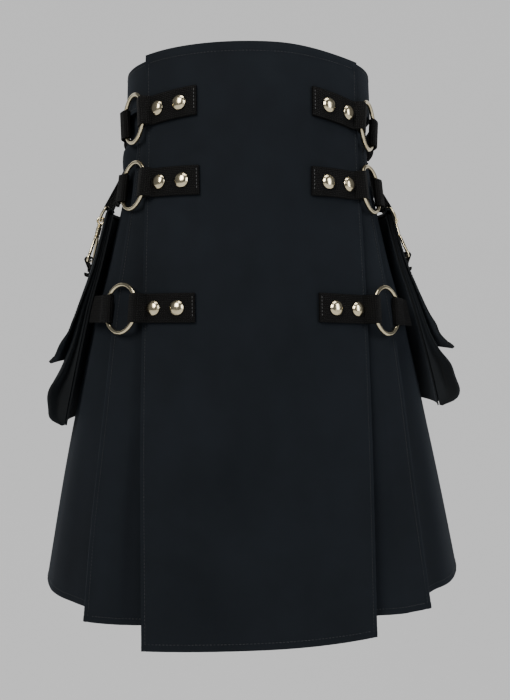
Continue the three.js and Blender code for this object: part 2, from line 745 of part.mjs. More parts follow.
// D ring: a straight bar in the hanger's fold and a bow that the hook's eye hangs in
function addDRing(pocket, label, across) {
  const { at, along, up } = barFrame(pocket, across);
  const bow = D_RING.height - D_RING.halfWidth;
  const outline = [
    [-0.86 * D_RING.halfWidth, 0], [0.86 * D_RING.halfWidth, 0], [D_RING.halfWidth, -1.5],
    ...spaced(0, 180, 9).map((degrees) => {
      const angle = THREE.MathUtils.degToRad(degrees);
      return [D_RING.halfWidth * Math.cos(angle), -bow - D_RING.halfWidth * Math.sin(angle)];
    }),
    [-D_RING.halfWidth, -1.5],
  ];
  const points = outline.map(([x, y]) => at.clone().addScaledVector(along, x).addScaledVector(up, y));
  addPiece(`d_ring_${label}`, tubeGeometry(points, FITTING_WIRE, 6, true), SILVER);
}

// Webbing that leaves the skirt, turns round the D ring's bar and comes back on itself
function addHanger(pocket, label, across) {
  const bar = barFrame(pocket, across);
  const middle = POCKET_EDGE * sectionAt(bar.at.z).half + across;
  const loop = FITTING_WIRE + WEB_CLEAR + WEBBING / 2;
  const onSkirt = (z, lift) => place(z, pocket.side * middle, skirtOut(z) + pocket.hangerLift + lift);
  const leave = onSkirt(HANGER.leaves, 0.5 * WEBBING);
  const fall = bar.at.clone().sub(leave).normalize();
  const over = fall.clone().cross(bar.along).multiplyScalar(pocket.side).normalize();
  const turn = spaced(-90, 90, 5).map((degrees) => {
    const angle = THREE.MathUtils.degToRad(degrees);
    return bar.at.clone()
      .addScaledVector(fall, loop * Math.cos(angle))
      .addScaledVector(over, loop * Math.sin(angle));
  });
  const path = [
    onSkirt(HANGER.top, 0.5 * WEBBING), leave, ...turn,
    onSkirt(HANGER.leaves, 1.5 * WEBBING + WEB_CLEAR).addScaledVector(over, HANGER.slack),
    onSkirt(HANGER.top, 1.5 * WEBBING + WEB_CLEAR),
  ];
  const grid = [-0.5, 0.5].map((k) => (
    path.map((at) => at.clone().addScaledVector(bar.along, k * HANGER.width))
  ));
  webbingPiece(`hanger_${label}`, grid);
}

// Point over the flap's straight stretch between two of its rows, moved out by lift
function overFlap(pocket, down, across, lift) {
  const next = FLAP_ROWS.findIndex((row) => row >= down);
  const [above, below] = [FLAP_ROWS[next - 1], FLAP_ROWS[next]];
  const start = pocketPlace(pocket, above, across, flapOut(pocket, above, across));
  const end = pocketPlace(pocket, below, across, flapOut(pocket, below, across));
  const normal = pocketFrame(pocket, across, down, 0).normal;
  return start.lerp(end, (down - above) / (below - above)).addScaledVector(normal, 0.5 * CLOTH + lift);
}

// Swivel snap hook: an eye on the D ring, a barrel and a wide bow in the tab's fold
function addSnapHook(pocket, label, across) {
  const bar = barFrame(pocket, across);
  const eyeAt = bar.at.clone().addScaledVector(bar.up, -D_RING.height);
  const axis = tabFold(pocket, across, 0).sub(eyeAt);
  const length = axis.length();
  axis.normalize();
  const foldEnds = [0.5, -0.5].map((k) => tabFold(pocket, across, k * TAB_WIDTH));
  const normal = foldEnds[0].sub(foldEnds[1]).cross(axis).normalize();

  const eyeRing = new THREE.TorusGeometry(HOOK.eyeRadius, HOOK.eyeWire, 6, 14);
  eyeRing.applyMatrix4(new THREE.Matrix4().makeBasis(axis, normal, axis.clone().cross(normal)));
  eyeRing.translate(...eyeAt.toArray());

  const barrel = new THREE.CylinderGeometry(HOOK.barrel, HOOK.barrel, HOOK.barrelLength, 10);
  const along = axis.clone().cross(normal);
  barrel.applyMatrix4(new THREE.Matrix4().makeBasis(along, axis, along.clone().cross(axis)));
  const barrelAt = HOOK.eyeRadius + 0.5 * HOOK.barrelLength;
  barrel.translate(...eyeAt.clone().addScaledVector(axis, barrelAt).toArray());

  const top = HOOK.eyeRadius + HOOK.barrelLength - 1;
  const corners = [
    [-HOOK.neck, top], [HOOK.neck, top], [HOOK.halfWidth, length - 6], [HOOK.halfWidth, length - 2],
    [HOOK.halfWidth - 1.8, length], [1.8 - HOOK.halfWidth, length],
    [-HOOK.halfWidth, length - 2], [-HOOK.halfWidth, length - 6],
  ];
  const outline = corners.map(([x, y]) => (
    eyeAt.clone().addScaledVector(along, x).addScaledVector(axis, y)
  ));
  const bow = tubeGeometry(outline, FITTING_WIRE, 6, true);
  addPiece(`snap_hook_${label}`, joined([eyeRing, barrel, bow]), SILVER);
}

// Middle of the tab's fold, where the hook's bow lies, at one place across the tab
function tabFold(pocket, across, shift) {
  const lift = WEB_CLEAR + WEBBING + TAB.foldClear + FITTING_WIRE;
  return overFlap(pocket, TAB.topDown, across + shift, lift);
}

// Tab sewn on the flap: a fold round the hook's bow above, a curled end below
function addTab(pocket, label, across) {
  const loop = FITTING_WIRE + TAB.foldClear + 0.5 * WEBBING;
  const low = WEB_CLEAR + 0.5 * WEBBING;
  const high = low + WEBBING + WEB_CLEAR;
  const grid = [-0.5, 0, 0.5].map((k) => {
    const shift = k * TAB_WIDTH;
    const lie = (down, lift) => overFlap(pocket, down, across + shift, lift);
    const { up, normal } = pocketFrame(pocket, across, TAB.topDown, 0);
    const turn = spaced(-90, 90, 5).map((degrees) => {
      const angle = THREE.MathUtils.degToRad(degrees);
      return tabFold(pocket, across, shift)
        .addScaledVector(up, loop * Math.cos(angle))
        .addScaledVector(normal, loop * Math.sin(angle));
    });
    return [
      ...TAB_CURL.map(({ past, lift }) => lie(TAB.endDown + past, low + lift)),
      ...turn,
      lie(TAB.shoulder, high + TAB.shoulderLift),
      lie(TAB.upperEnd, high),
    ];
  });
  webbingPiece(`tab_${label}`, grid);
}

function addPockets() {
  for (const pocket of POCKETS) {
    addPocketBack(pocket);
    addPocketBag(pocket);
    addPocketFlap(pocket);
    HOOK_PLACES.forEach((across, i) => {
      const label = `${pocket.name}_${i + 1}`;
      addDRing(pocket, label, across);
      addHanger(pocket, label, across);
      addSnapHook(pocket, label, across);
      addTab(pocket, label, across);
    });
  }
}

addWaistband();
addSkirt();
addUnderApron();
addApron();
addStraps();
addPockets();

export default kilt;
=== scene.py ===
"""Gothic kilt as it hangs on the body: cloth, webbing, metal and sewing on the CAD frame, in metres."""

import bisect
import math

import bpy
from mathutils import Matrix, Vector


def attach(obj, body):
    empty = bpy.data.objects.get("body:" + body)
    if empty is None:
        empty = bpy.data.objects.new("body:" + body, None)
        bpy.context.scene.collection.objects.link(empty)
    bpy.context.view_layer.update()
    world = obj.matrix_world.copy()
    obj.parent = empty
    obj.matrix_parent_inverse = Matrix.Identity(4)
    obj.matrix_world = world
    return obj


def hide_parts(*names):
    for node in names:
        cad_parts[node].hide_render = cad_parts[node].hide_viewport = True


bl_info = {
    "name": "Gothic Kilt",
    "version": (1, 0, 0),
    "blender": (4, 5, 0),
    "location": "View3D > Sidebar > Kilt",
    "description": "Dresses the kilt's solids with cloth, webbing, metal and sewing",
    "category": "Object",
}

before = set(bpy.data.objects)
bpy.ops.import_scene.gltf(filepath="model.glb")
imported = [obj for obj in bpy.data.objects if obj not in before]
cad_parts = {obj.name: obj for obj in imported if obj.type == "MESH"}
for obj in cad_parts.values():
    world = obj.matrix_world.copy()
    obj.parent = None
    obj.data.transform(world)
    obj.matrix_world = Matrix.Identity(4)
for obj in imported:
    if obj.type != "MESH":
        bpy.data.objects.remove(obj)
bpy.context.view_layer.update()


def rows_of(keys, *rows):
    """Rows of a table, each value under its key."""
    return [dict(zip(keys.split(), row)) for row in rows]


# The tables below are a pattern cutter's, in millimetres; place() turns them into metres.
MM = 0.001
CLOTH = 1.5
WEBBING = 1.4
LAY_GAP = 0.45
SEAM_GAP = 0.35
STRAP_HEIGHT = 30.0
BAND_TOP, BAND_BOTTOM = 25.0, -25.0
SKIRT_TOP, SKIRT_HEM = -10.0, -563.0
APRON_TOP, APRON_HEM = 30.0, -578.0
APRON_HALF = 122.5
# Sewn edges: the seam's distance from the edge, where the turned cloth ends, and how far it stands up
SIDE_SEAM = (3.9, 6.5, 0.3)
TOP_SEAM = (9.6, 10.6, 0.35)
APRON_HEM_SEAM = (6.8, 8.6, 0.35)
SKIRT_HEM_SEAM = (6.4, 8.1, 0.3)
FLAP_SEAM = (4.2, 6.0, 0.3)
BAND_SEAM = 4.0
STRAP_SEAM = 2.2
SEAM_WIDTH = 1.1
# Stitches: where the first one starts by share of the pitch, how deep its ends sink, how high it lies
STITCH = {"start": 0.3, "sunk": 0.15, "lift": 0.1}
# How far the middle of each seam's thread lies over the cloth
THREAD_LIFT = {"apron": 0.05, "hem": 0.1, "fold": -0.05, "band": 0.02, "strap": 0.02, "flap": 0.05}

# Body section at each height: an ellipse with its centre moved back by shift
SECTIONS = rows_of(
    "z width depth shift",
    (30, 140, 104.5, 0),
    (0, 141, 105, 0),
    (-76, 143.5, 108, 1.5),
    (-183, 165, 120, 10),
    (-243, 180, 128, 16),
    (-399, 210, 143, 25),
    (-578, 240, 166, 41),
)

# Arc from the front centre to each fold edge, at the waist and the hem, and the fold's lift on each side
PLEATS = rows_of(
    "waist hem left right",
    (145, 186, 1.0, 1.1),
    (211, 322, 0.85, 1.4),
    (277, 458, 1.1, 0.95),
    (343, 590, 0.9, 0.9),
)
PLEAT_DEPTH = (12.0, 16.0)
FOLD_RADIUS = (1.6, 2.6)
FOLD_OUT = (-2.8, 13.0)
TUCK_OUT = (-9.2, -18.0)
START_OUT = (-4.5, -13.0)
# Loose cloth that stands out on the left hip, round an arc place and between two heights
HIP = {"s": 175, "width": 24, "out": 9.5, "top": -43, "rise": 22, "foot": -115, "fall": 45}
PANEL_START = 100.0
# Uneven run of the fold edges, and how far from an edge the cloth is shaped by it
FOLD_SWAY, FOLD_WAVE = 1.6, 47.0
FOLD_REACH = 14.0
# Pressed ridge beside a fold's edge and the groove of its seam, by distance from the edge
FOLD_SEAM = {"ridge": 0.28, "end": 5.0, "over": 2.0, "groove": 0.42, "at": 5.6, "width": 1.3}

# Main creases of the apron, as in the solid: a trough from (s, z) along its lean
APRON_TROUGHS = rows_of(
    "s z lean length width depth",
    (-62, -120, 0.42, 190, 22, 2.4),
    (58, -122, -0.5, 160, 20, 2.0),
    (-58, -258, 0.28, 210, 26, 2.6),
    (64, -262, -0.34, 180, 24, 2.2),
    (-20, -395, -0.1, 150, 30, 1.8),
)
# By share of a crease's length: how far ahead of its start it begins and over how much it rises, for
# the troughs and the small creases, and over how much it dies out
TROUGH_LEAD, CREASE_LEAD = (0.15, 0.35), (0.25, 0.5)
CREASE_END = 0.6
# How far the left and right edges swing out at the hem, from which height, and how they narrow
APRON_SWING = (13.0, 4.0)
SWING_FROM = -230.0
APRON_TAPER = (0.05, 0.025)
TAPER_FROM = -262.0
TOP_DROP = 5.0
# Distance below the waist at which the small creases begin; they are full at twice that
SMOOTH_TOP = 40.0

# Smaller creases, listed one by one: from (s, z) over (ds, dz); a trough is positive, a ridge negative
APRON_CREASES = rows_of(
    "s z ds dz width depth",
    (-108, -122, 60, -46, 9, 1.1),
    (-104, -92, 58, 12, 8, 0.8),
    (106, -126, -66, -62, 10, 1.2),
    (104, -90, -48, 16, 8, 0.7),
    (-58, -44, 46, -26, 9, 0.8),
    (60, -46, -52, -30, 9, 0.9),
    (-112, -262, 64, -52, 11, 1.3),
    (-100, -222, 62, 24, 10, 0.8),
    (112, -268, -58, -74, 11, 1.2),
    (102, -228, -70, 30, 10, 0.9),
    (-34, -182, 70, -20, 13, -1.0),
    (24, -236, -54, -58, 14, -1.1),
    (-84, -350, 12, -150, 14, 1.2),
    (-38, -330, -14, -170, 16, -1.3),
    (82, -372, -10, -160, 14, 1.3),
    (44, -352, 12, -180, 16, -1.2),
    (8, -430, 6, -120, 13, 0.9),
    (-96, -470, 38, -70, 12, 0.9),
)

# Soft falls of the pleated panels, by share of the panel's width, then height
PANEL_FALLS = rows_of(
    "share z length width depth",
    (0.34, -160, 330, 0.13, 1.5),
    (0.68, -230, 300, 0.11, -1.6),
    (0.5, -370, 190, 0.1, 1.3),
    (0.2, -300, 240, 0.09, -1.2),
    (0.84, -330, 220, 0.08, 1.1),
)

# Strap rows: height of the left and right strap at its front end, how far each drops to its ring,
# the arc place of the front end, and how far the ring stands out
STRAP_ROWS = rows_of(
    "row left left_drop right right_drop end ring_out",
    (1, -28, 6, -28, 12, 59.5, 4.2),
    (2, -110, -2, -111, 1, 57.5, 4.6),
    (3, -240, 0, -241, 4, 63, 8.8),
)
SNAP_STEPS = (18.0, 44.0)
RING_STEP = 83.0
RING_RADIUS = 25.4
RING_WIRE = 2.3
# Turn by which each ring's rear half leans in to the hip, in degrees
RING_LEAN = 6.0
WEB_CLEAR = 0.35
# Least stand of what lies over the waistband and the skirt
LEAST_OUT = 0.3
STRAP_LEAVES = 31.0
LOOP_REACH = 9.0
KEEPER = {"start": 34, "length": 32}
SNAP_RADIUS = 7.5
SNAP_HEIGHT = 4.0
SNAP_RIM = 1.3
SNAP_SEAT = 0.5
STRAP_FACE = 2 * WEB_CLEAR + 2 * WEBBING

# Depth and side tuck of a pocket's bag at each length below its top
POCKET_BAG = rows_of(
    "down depth tuck",
    (0, 5, 2),
    (45, 5.5, 3),
    (95, 7, 4.5),
    (145, 9.5, 6),
    (176, 13, 7),
    (203, 18, 7),
    (222, 19, 6),
    (236, 15.5, 4),
    (246, 9.5, 2.4),
    (252, 3.6, 0.6),
)
POCKETS = rows_of(
    "name side drop upright flare curl sag hanger_lift",
    ("left", -1, 2, 0.94, 0, 13, 7, 0.9),
    ("right", 1, 2, 0.88, 8, 11, 10, -1.0),
)
POCKET_WIDTH = 185.0
POCKET_TOP = -132.0
POCKET_EDGE = 0.434
POCKET_LIFT = 5.4
POCKET_CROWN = 3.0
FLAP_END = 176.0
FLAP_LIFT = CLOTH + 0.8
FLAP_OVER = 1.5
FLAP_EDGE = (0, 1.3, 2.8, 4.2, 5.6, 7.5)
# The flap's top rows, which turn over the bag's upper edge: place down, and share of the flap's lift
FLAP_TURN = ((-2, 0), (-6, 0.3), (-6.5, 0.75), (-3, 1))
# Lengths over which the bag flares and crowns, and where its corners sag
FLARE_OVER, CROWN_OVER = 250.0, 120.0
BAG_SAG = {"start": 150, "over": 80, "end": 254, "fade": 12}
# Upright dents of the bag's front: share of its width, how much its side moves it, where it starts down
# the bag, and its depth, which is positive for a ridge
BAG_DENTS = rows_of(
    "share turn width start over depth",
    (0.3, 0.05, 0.09, 60, 120, -1.6),
    (0.62, 0, 0.1, 90, 100, 1.3),
)

# Wire fittings and webbing that carry a pocket
FITTING_WIRE = 1.75
D_RING = {"half_width": 13.4, "height": 17.0, "down": -13.0, "out": 8.5, "tip": 22}
HOOK_PLACES = (34.0, 151.0)
HANGER = {"width": 20.0, "top": -67.0, "leaves": -78.0, "slack": 0.6}
HOOK = {"eye": 3.9, "eye_wire": 1.3, "barrel": 3.0, "barrel_length": 17.0, "half_width": 14.0, "neck": 4.0}
TAB = {"width": 18.0, "top": 54.0, "end": 70.0, "knob": 5.2, "fold_clear": 2.4}
# The tab's curled end, past its end and by share of the knob, and its upper layer by place and lift
TAB_CURL = ((-1, 1), (2.2, 0.72), (2.4, 0.3), (-2, 0))
TAB_UPPER = ((63, 1.3), (67, 0))

# Stage, in metres: the paper sweep's side view, the lights and the camera
SWEEP = ((-4.0, 0.0), (1.0, 0.0), (2.2, 0.1), (3.2, 0.5), (3.9, 1.2), (4.2, 2.2), (4.3, 6.0))
SWEEP_HALF = 6.0
FLOOR_DROP = 1.25
LIGHTS = rows_of(
    "name location target size power colour",
    ("key", (-1.1, -1.7, 0.9), (0, 0, -0.25), (0.9, 1.3), 44, (1.0, 0.97, 0.93)),
    ("fill", (1.5, -1.5, 0.3), (0, 0, -0.3), (0.7, 1.6), 22, (0.95, 0.97, 1.0)),
    ("top", (0.1, -0.3, 1.3), (0, 0, 0), (0.9, 0.6), 8, (1.0, 0.98, 0.95)),
)
CAMERA = {"lens": 33.9, "shift": (0.0057, -0.0543), "location": (-0.0473, -0.7735, -0.245),
          "forward": (0.061, 0.998, 0), "roll": 0.6, "pixels": (510, 700)}


def mix(a, b, t):
    return a + (b - a) * t


def smooth(t):
    k = min(1.0, max(0.0, t))
    return k * k * (3 - 2 * k)


def spaced(start, end, count):
    return [mix(start, end, i / (count - 1)) for i in range(count)]


def angles(start, end, count):
    """Even steps from one angle to another in degrees, given back in radians."""
    return [math.radians(degrees) for degrees in spaced(start, end, count)]


def bell(x, middle=0.0, width=1.0):
    """Rounded bump of height 1 with its top at middle."""
    return math.exp(-((x - middle) / width) ** 2)


def near_edges(start, end, edge_steps, count):
    """Values from start to end: the given distances from both ends, and even steps between them."""
    sign = 1 if end > start else -1
    first = [start + sign * step for step in edge_steps]
    last = [end - sign * step for step in reversed(edge_steps)]
    return first + spaced(first[-1], last[0], count + 2)[1:-1] + last


def read_table(table, key, column, at):
    """Smooth value of one column of a table whose key column runs one way."""
    last = len(table) - 1

    def slope(i):
        a, b = table[max(0, i - 1)], table[min(last, i + 1)]
        return (b[column] - a[column]) / (b[key] - a[key])

    sign = 1 if table[last][key] > table[0][key] else -1
    i = 0
    while i < last - 1 and (at - table[i + 1][key]) * sign > 0:
        i += 1
    span = table[i + 1][key] - table[i][key]
    t = min(1.0, max(0.0, (at - table[i][key]) / span))
    return ((2 * t**3 - 3 * t**2 + 1) * table[i][column] + (t**3 - 2 * t**2 + t) * span * slope(i)
            + (3 * t**2 - 2 * t**3) * table[i + 1][column] + (t**3 - t**2) * span * slope(i + 1))


ARC_STEPS = 240
SECTION_CACHE = {}


def section_at(z):
    """Half of the body section at a height: width, depth, shift, arc at each step, half girth."""
    key = round(z, 3)
    if key not in SECTION_CACHE:
        width, depth, shift = (read_table(SECTIONS, "z", name, z) for name in ("width", "depth", "shift"))
        arc = [0.0]
        for i in range(1, ARC_STEPS + 1):
            t = (i - 0.5) / ARC_STEPS * math.pi
            step = math.hypot(width * math.cos(t), depth * math.sin(t)) * math.pi / ARC_STEPS
            arc.append(arc[-1] + step)
        SECTION_CACHE[key] = (width, depth, shift, arc, arc[-1])
    return SECTION_CACHE[key]


def half_girth(z):
    return section_at(z)[4]


def place(z, s, out):
    """Point in metres: height, arc round the body from the front centre, distance out of it."""
    width, depth, shift, arc, half = section_at(z)
    rest = s % (2 * half)
    turned = -1 if rest > half else 1
    if turned < 0:
        rest = 2 * half - rest
    low = bisect.bisect_right(arc, rest, 1, ARC_STEPS) - 1
    part = (rest - arc[low]) / (arc[low + 1] - arc[low])
    angle = turned * (low + part) / ARC_STEPS * math.pi
    nx, ny = math.sin(angle) / width, -math.cos(angle) / depth
    size = math.hypot(nx, ny)
    return Vector((width * math.sin(angle) + nx / size * out,
                   shift - depth * math.cos(angle) + ny / size * out, z)) * MM


def frame_at(z, s, out):
    """The place with its directions along the arc, up the cloth and out of it."""
    along = (place(z, s + 1, out) - place(z, s - 1, out)).normalized()
    rise = place(z + 1, s, out) - place(z - 1, s, out)
    normal = along.cross(rise).normalized()
    return {"at": place(z, s, out), "along": along, "up": normal.cross(along).normalized(), "normal": normal}


def openness(z):
    """How far the skirt has opened at a height: 0 at the waist, 1 at the hem."""
    return max(0.0, (half_girth(z) - half_girth(0)) / (half_girth(SKIRT_HEM) - half_girth(0)))


def curve_through(points, steps):
    """Smooth line through points, with the given number of steps between two of them."""
    result = []
    last = len(points) - 1
    for i in range(last):
        a, b, c, d = points[max(0, i - 1)], points[i], points[i + 1], points[min(last, i + 2)]
        for k in range(steps):
            t = k / steps
            result.append(b + (c - a) * (0.5 * t) + (a * 2 - b * 5 + c * 4 - d) * (0.5 * t * t)
                          + (b * 3 - a - c * 3 + d) * (0.5 * t**3))
    return result + [points[last]]


def direction(line, i, looped=False):
    """Mean direction of a line's steps to and from one of its points."""
    total = Vector((0, 0, 0))
    if looped or i:
        total += (line[i] - line[i - 1]).normalized()
    if looped or i < len(line) - 1:
        total += (line[(i + 1) % len(line)] - line[i]).normalized()
    return total.normalized()


def run_lengths(line):
    """Length along a line at each of its points."""
    runs = [0.0]
    for a, b in zip(line, line[1:]):
        runs.append(runs[-1] + (b - a).length)
    return runs


def new_object(name, points, faces, uvs=None, sharp=35.0):
    mesh = bpy.data.meshes.new(name)
    mesh.from_pydata(points, [], faces)
    mesh.validate()
    if uvs:
        layer = mesh.uv_layers.new(name="cloth")
        for loop in mesh.loops:
            layer.data[loop.index].uv = uvs[loop.vertex_index]
    obj = bpy.data.objects.new(name, mesh)
    bpy.context.collection.objects.link(obj)
    shade(obj, sharp)
    return obj


def shade(obj, sharp):
    bpy.ops.object.select_all(action="DESELECT")
    obj.select_set(True)
    bpy.context.view_layer.objects.active = obj
    bpy.ops.object.shade_smooth_by_angle(angle=math.radians(sharp))


def grid_normals(grid):
    """Outward direction at each point of a grid whose rows run down and columns run along."""
    columns = list(zip(*grid))
    return [[direction(columns[c], r).cross(direction(row, c)).normalized() for c in range(len(row))]
            for r, row in enumerate(grid)]


def wall(name, grid, thickness, relief=None):
    """Closed cloth wall on a grid of middle points, its texture laid out in metres of cloth.

    relief(r, c) gives how much further out the outer face stands, in millimetres.
    """
    rows, cols = len(grid), len(grid[0])
    normals = grid_normals(grid)
    across = [run_lengths(row) for row in grid]
    down = [run_lengths(column) for column in zip(*grid)]
    points, uvs = [], []
    for face in (0.5, -0.5):
        for r in range(rows):
            for c in range(cols):
                out = face * thickness + (relief(r, c) if relief and face > 0 else 0.0)
                points.append(grid[r][c] + normals[r][c] * (out * MM))
                uvs.append((across[r][c] - across[r][-1] / 2, -down[c][r]))
    inner = rows * cols
    faces = []
    for r in range(rows - 1):
        for c in range(cols - 1):
            a, b = r * cols + c, (r + 1) * cols + c
            faces.append((a, b, b + 1, a + 1))
            faces.append((inner + a, inner + a + 1, inner + b + 1, inner + b))
        a, b = r * cols, (r + 1) * cols
        faces.append((a, inner + a, inner + b, b))
        a, b = a + cols - 1, b + cols - 1
        faces.append((a, b, inner + b, inner + a))
    for c in range(cols - 1):
        faces.append((c, c + 1, inner + c + 1, inner + c))
        a = (rows - 1) * cols + c
        faces.append((a, inner + a, inner + a + 1, a + 1))
    return new_object(name, points, faces, uvs)


def finish_piece(obj, slot, node):
    """Paints a piece, lets it ride on the kilt's body and stands it in for its CAD node."""
    obj.data.materials.clear()
    obj.data.materials.append(MATERIALS[slot])
    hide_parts(node)
    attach(obj, "root")
    return obj


def cloth_piece(node, grid, settings, relief=None, slot="drill"):
    return finish_piece(wall(f"{node}_cloth", grid, settings.cloth * 1000, relief), slot, node)


def web_piece(node, grid, relief=None):
    return finish_piece(wall(f"{node}_webbing", grid, WEBBING, relief), "webbing", node)


class Value:
    """A shader socket on which Python arithmetic adds the math nodes."""

    def __init__(self, tree, socket):
        self.tree = tree
        self.socket = socket

    def feed(self, port, value):
        if isinstance(value, Value):
            self.tree.links.new(value.socket, port)
        else:
            port.default_value = value

    def node(self, kind, output=0, settings=None, **inputs):
        """Any other node; an input is named as on the node, with _ for a space."""
        node = self.tree.nodes.new(kind)
        for name, value in (settings or {}).items():
            setattr(node, name, value)
        for name, value in inputs.items():
            key = int(name[3:]) if name.startswith("at_") else name.replace("_", " ")
            self.feed(node.inputs[key], value)
        return Value(self.tree, node.outputs[output])

    def math(self, operation, first, *others):
        ports = {f"at_{i}": value for i, value in enumerate((first, *others))}
        return self.node("ShaderNodeMath", settings={"operation": operation}, **ports)

    def __add__(self, other):
        return self.math("ADD", self, other)

    __radd__ = __add__

    def __mul__(self, other):
        return self.math("MULTIPLY", self, other)

    __rmul__ = __mul__

    def __sub__(self, other):
        return self.math("SUBTRACT", self, other)

    def __rsub__(self, other):
        return self.math("SUBTRACT", other, self)

    def sine(self):
        return self.math("SINE", self)

    def colour(self, low, high):
        """A colour between two, by this value."""
        settings = {"data_type": "RGBA", "clamp_factor": True}
        return self.node("ShaderNodeMix", output=2, settings=settings, at_0=self, at_6=low, at_7=high)


def new_material(name, preview):
    """A material with its shader and the two coordinate sets, as (material, shader, uv, place)."""
    material = bpy.data.materials.new(name)
    material.use_nodes = True
    material.diffuse_color = preview
    tree = material.node_tree
    shader = tree.nodes["Principled BSDF"]
    ports = tree.nodes.new("ShaderNodeTexCoord").outputs
    return material, shader, Value(tree, ports["UV"]), Value(tree, ports["Object"])


def noise(at, scale, detail=2.0, roughness=0.5):
    return at.node("ShaderNodeTexNoise", Vector=at, Scale=scale, Detail=detail, Roughness=roughness)


def split(at):
    """The three parts of a coordinate."""
    node = at.node("ShaderNodeSeparateXYZ", Vector=at).socket.node
    return [Value(at.tree, output) for output in node.outputs]


def bump(at, height, strength, distance):
    return at.node("ShaderNodeBump", Height=height, Strength=strength, Distance=distance)


def set_shader(shader, at, **values):
    """Sets the shader's inputs, or links them to nodes; an input is named with _ for a space."""
    for name, value in values.items():
        at.feed(shader.inputs[name.replace("_", " ")], value)


def twill(name, dark, light, pitch=0.0011):
    """Washed cotton twill: fine diagonal ribs, slubs and soft fading."""
    material, shader, uv, at = new_material(name, light)
    across, down, _ = split(uv)
    slub = noise(uv, 420.0, 3.0, 0.6)
    rib = ((across + down * 0.9) * (2 * math.pi / pitch) + slub * 2.0).sine() * 0.5 + 0.5
    fading = noise(at, 9.0, 4.0, 0.55)
    patches = noise(at, 38.0, 3.0, 0.6)
    tone = fading * 0.9 + patches * 0.35 + slub * 0.3 + rib * 0.25 - 0.45
    height = rib * 0.55 + slub * 0.45
    set_shader(shader, uv, Base_Color=tone.colour(dark, light), Roughness=slub * 0.12 + 0.82,
               Normal=bump(uv, height, 0.35, 0.0004), Sheen_Weight=0.05, Sheen_Roughness=0.5,
               Sheen_Tint=(0.6, 0.72, 0.9, 1.0), Specular_IOR_Level=0.14)
    return material


def ribbed(name, dark, light, pitch=0.0023):
    """Woven webbing: cross ribs broken by its warp, as a small grid."""
    material, shader, uv, at = new_material(name, light)
    across, down, _ = split(uv)
    ribs = (across * (2 * math.pi / pitch)).sine() * 0.5 + 0.5
    warp = (down * (2 * math.pi / (0.8 * pitch))).sine() * 0.5 + 0.5
    wear = noise(at, 60.0, 3.0, 0.6)
    fibre = noise(uv, 900.0, 2.0, 0.6)
    weave = ribs * warp
    tone = weave * 1.05 + wear * 0.3 + fibre * 0.2 - 0.3
    set_shader(shader, uv, Base_Color=tone.colour(dark, light), Roughness=0.72 - weave * 0.14,
               Normal=bump(uv, weave + fibre * 0.3, 1.0, 0.0009), Sheen_Weight=0.02,
               Sheen_Roughness=0.45, Specular_IOR_Level=0.12)
    return material


def plated(name, base, worn):
    """Polished nickel plate with faint handling marks, its colour blotched with painted dark reflection."""
    material, shader, _, at = new_material(name, base)
    smear_and_reflection = noise(at, 140.0, 4.0, 0.6)
    scratch = noise(at, 900.0, 3.0, 0.65)
    # The smear noise blotches the base colour with a darker brown tone, which is painted dark reflection
    set_shader(shader, at, Base_Color=(smear_and_reflection * 1.2 - 0.2).colour(base, worn),
               Roughness=smear_and_reflection * 0.14 + scratch * 0.06 + 0.08,
               Normal=bump(at, scratch * 0.5 + smear_and_reflection, 0.06, 0.0003), Metallic=1.0)
    return material


def thread(name, dark, light):
    material, shader, _, at = new_material(name, light)
    twist = noise(at, 1500.0, 2.0, 0.6)
    set_shader(shader, at, Base_Color=twist.colour(dark, light), Roughness=twist * 0.2 + 0.5,
               Sheen_Weight=0.2, Specular_IOR_Level=0.4)
    return material


MATERIALS = {}


def make_materials():
    MATERIALS["drill"] = twill("navy_black_drill", (0.0028, 0.0039, 0.0056, 1), (0.0088, 0.0118, 0.016, 1))
    MATERIALS["pocket_cloth"] = twill("pocket_drill", (0.004, 0.0046, 0.005, 1), (0.0125, 0.0142, 0.0155, 1))
    MATERIALS["webbing"] = ribbed("black_webbing", (0.0005, 0.0005, 0.0005, 1), (0.0062, 0.006, 0.0057, 1))
    # The plate's second, darker brown colour is painted dark reflection
    MATERIALS["silver_metal"] = plated("nickel_plate", (0.9, 0.8, 0.56, 1), (0.6, 0.5, 0.3, 1))
    MATERIALS["strap_thread"] = thread("strap_thread", (0.02, 0.02, 0.021, 1), (0.07, 0.07, 0.07, 1))
    MATERIALS["thread"] = thread("thread", (0.004, 0.005, 0.0065, 1), (0.013, 0.0155, 0.019, 1))


# Apron
def fading(along, lead, rise):
    """Strength of a crease along its line: it starts a little before 0 and dies out a little past 1."""
    return smooth((along + lead) / rise) * smooth((1 + lead - along) / CREASE_END)


def crease_depth(z, s):
    """Depth of the apron's soft troughs at one place."""
    total = 0.0
    for crease in APRON_TROUGHS:
        down = crease["z"] - z
        fade = fading(down / crease["length"], *TROUGH_LEAD)
        total += crease["depth"] * fade * bell(s, crease["s"] + crease["lean"] * down, crease["width"])
    return total


def small_creases(z, s):
    """Depth of the listed small creases: each follows a short straight line and dies out at its ends."""
    total = 0.0
    for crease in APRON_CREASES:
        length = math.hypot(crease["ds"], crease["dz"])
        ux, uz = crease["ds"] / length, crease["dz"] / length
        x, y = s - crease["s"], z - crease["z"]
        fade = fading((x * ux + y * uz) / length, *CREASE_LEAD)
        total += crease["depth"] * fade * bell(x * uz - y * ux, 0, crease["width"])
    return total


def apron_out(z, s):
    """How far the apron's middle line stands out of the body."""
    edge = abs(s) / APRON_HALF
    down = smooth((SWING_FROM - z) / (SWING_FROM - APRON_HEM))
    swing = APRON_SWING[0] if s < 0 else APRON_SWING[1]
    depth = crease_depth(z, s) + small_creases(z, s) * smooth((-z - SMOOTH_TOP) / SMOOTH_TOP)
    flat_edge = smooth((1.1 - edge) * 3)
    return LAY_GAP + 0.5 * CLOTH + swing * down * min(1.2, edge) ** 2 - depth * flat_edge


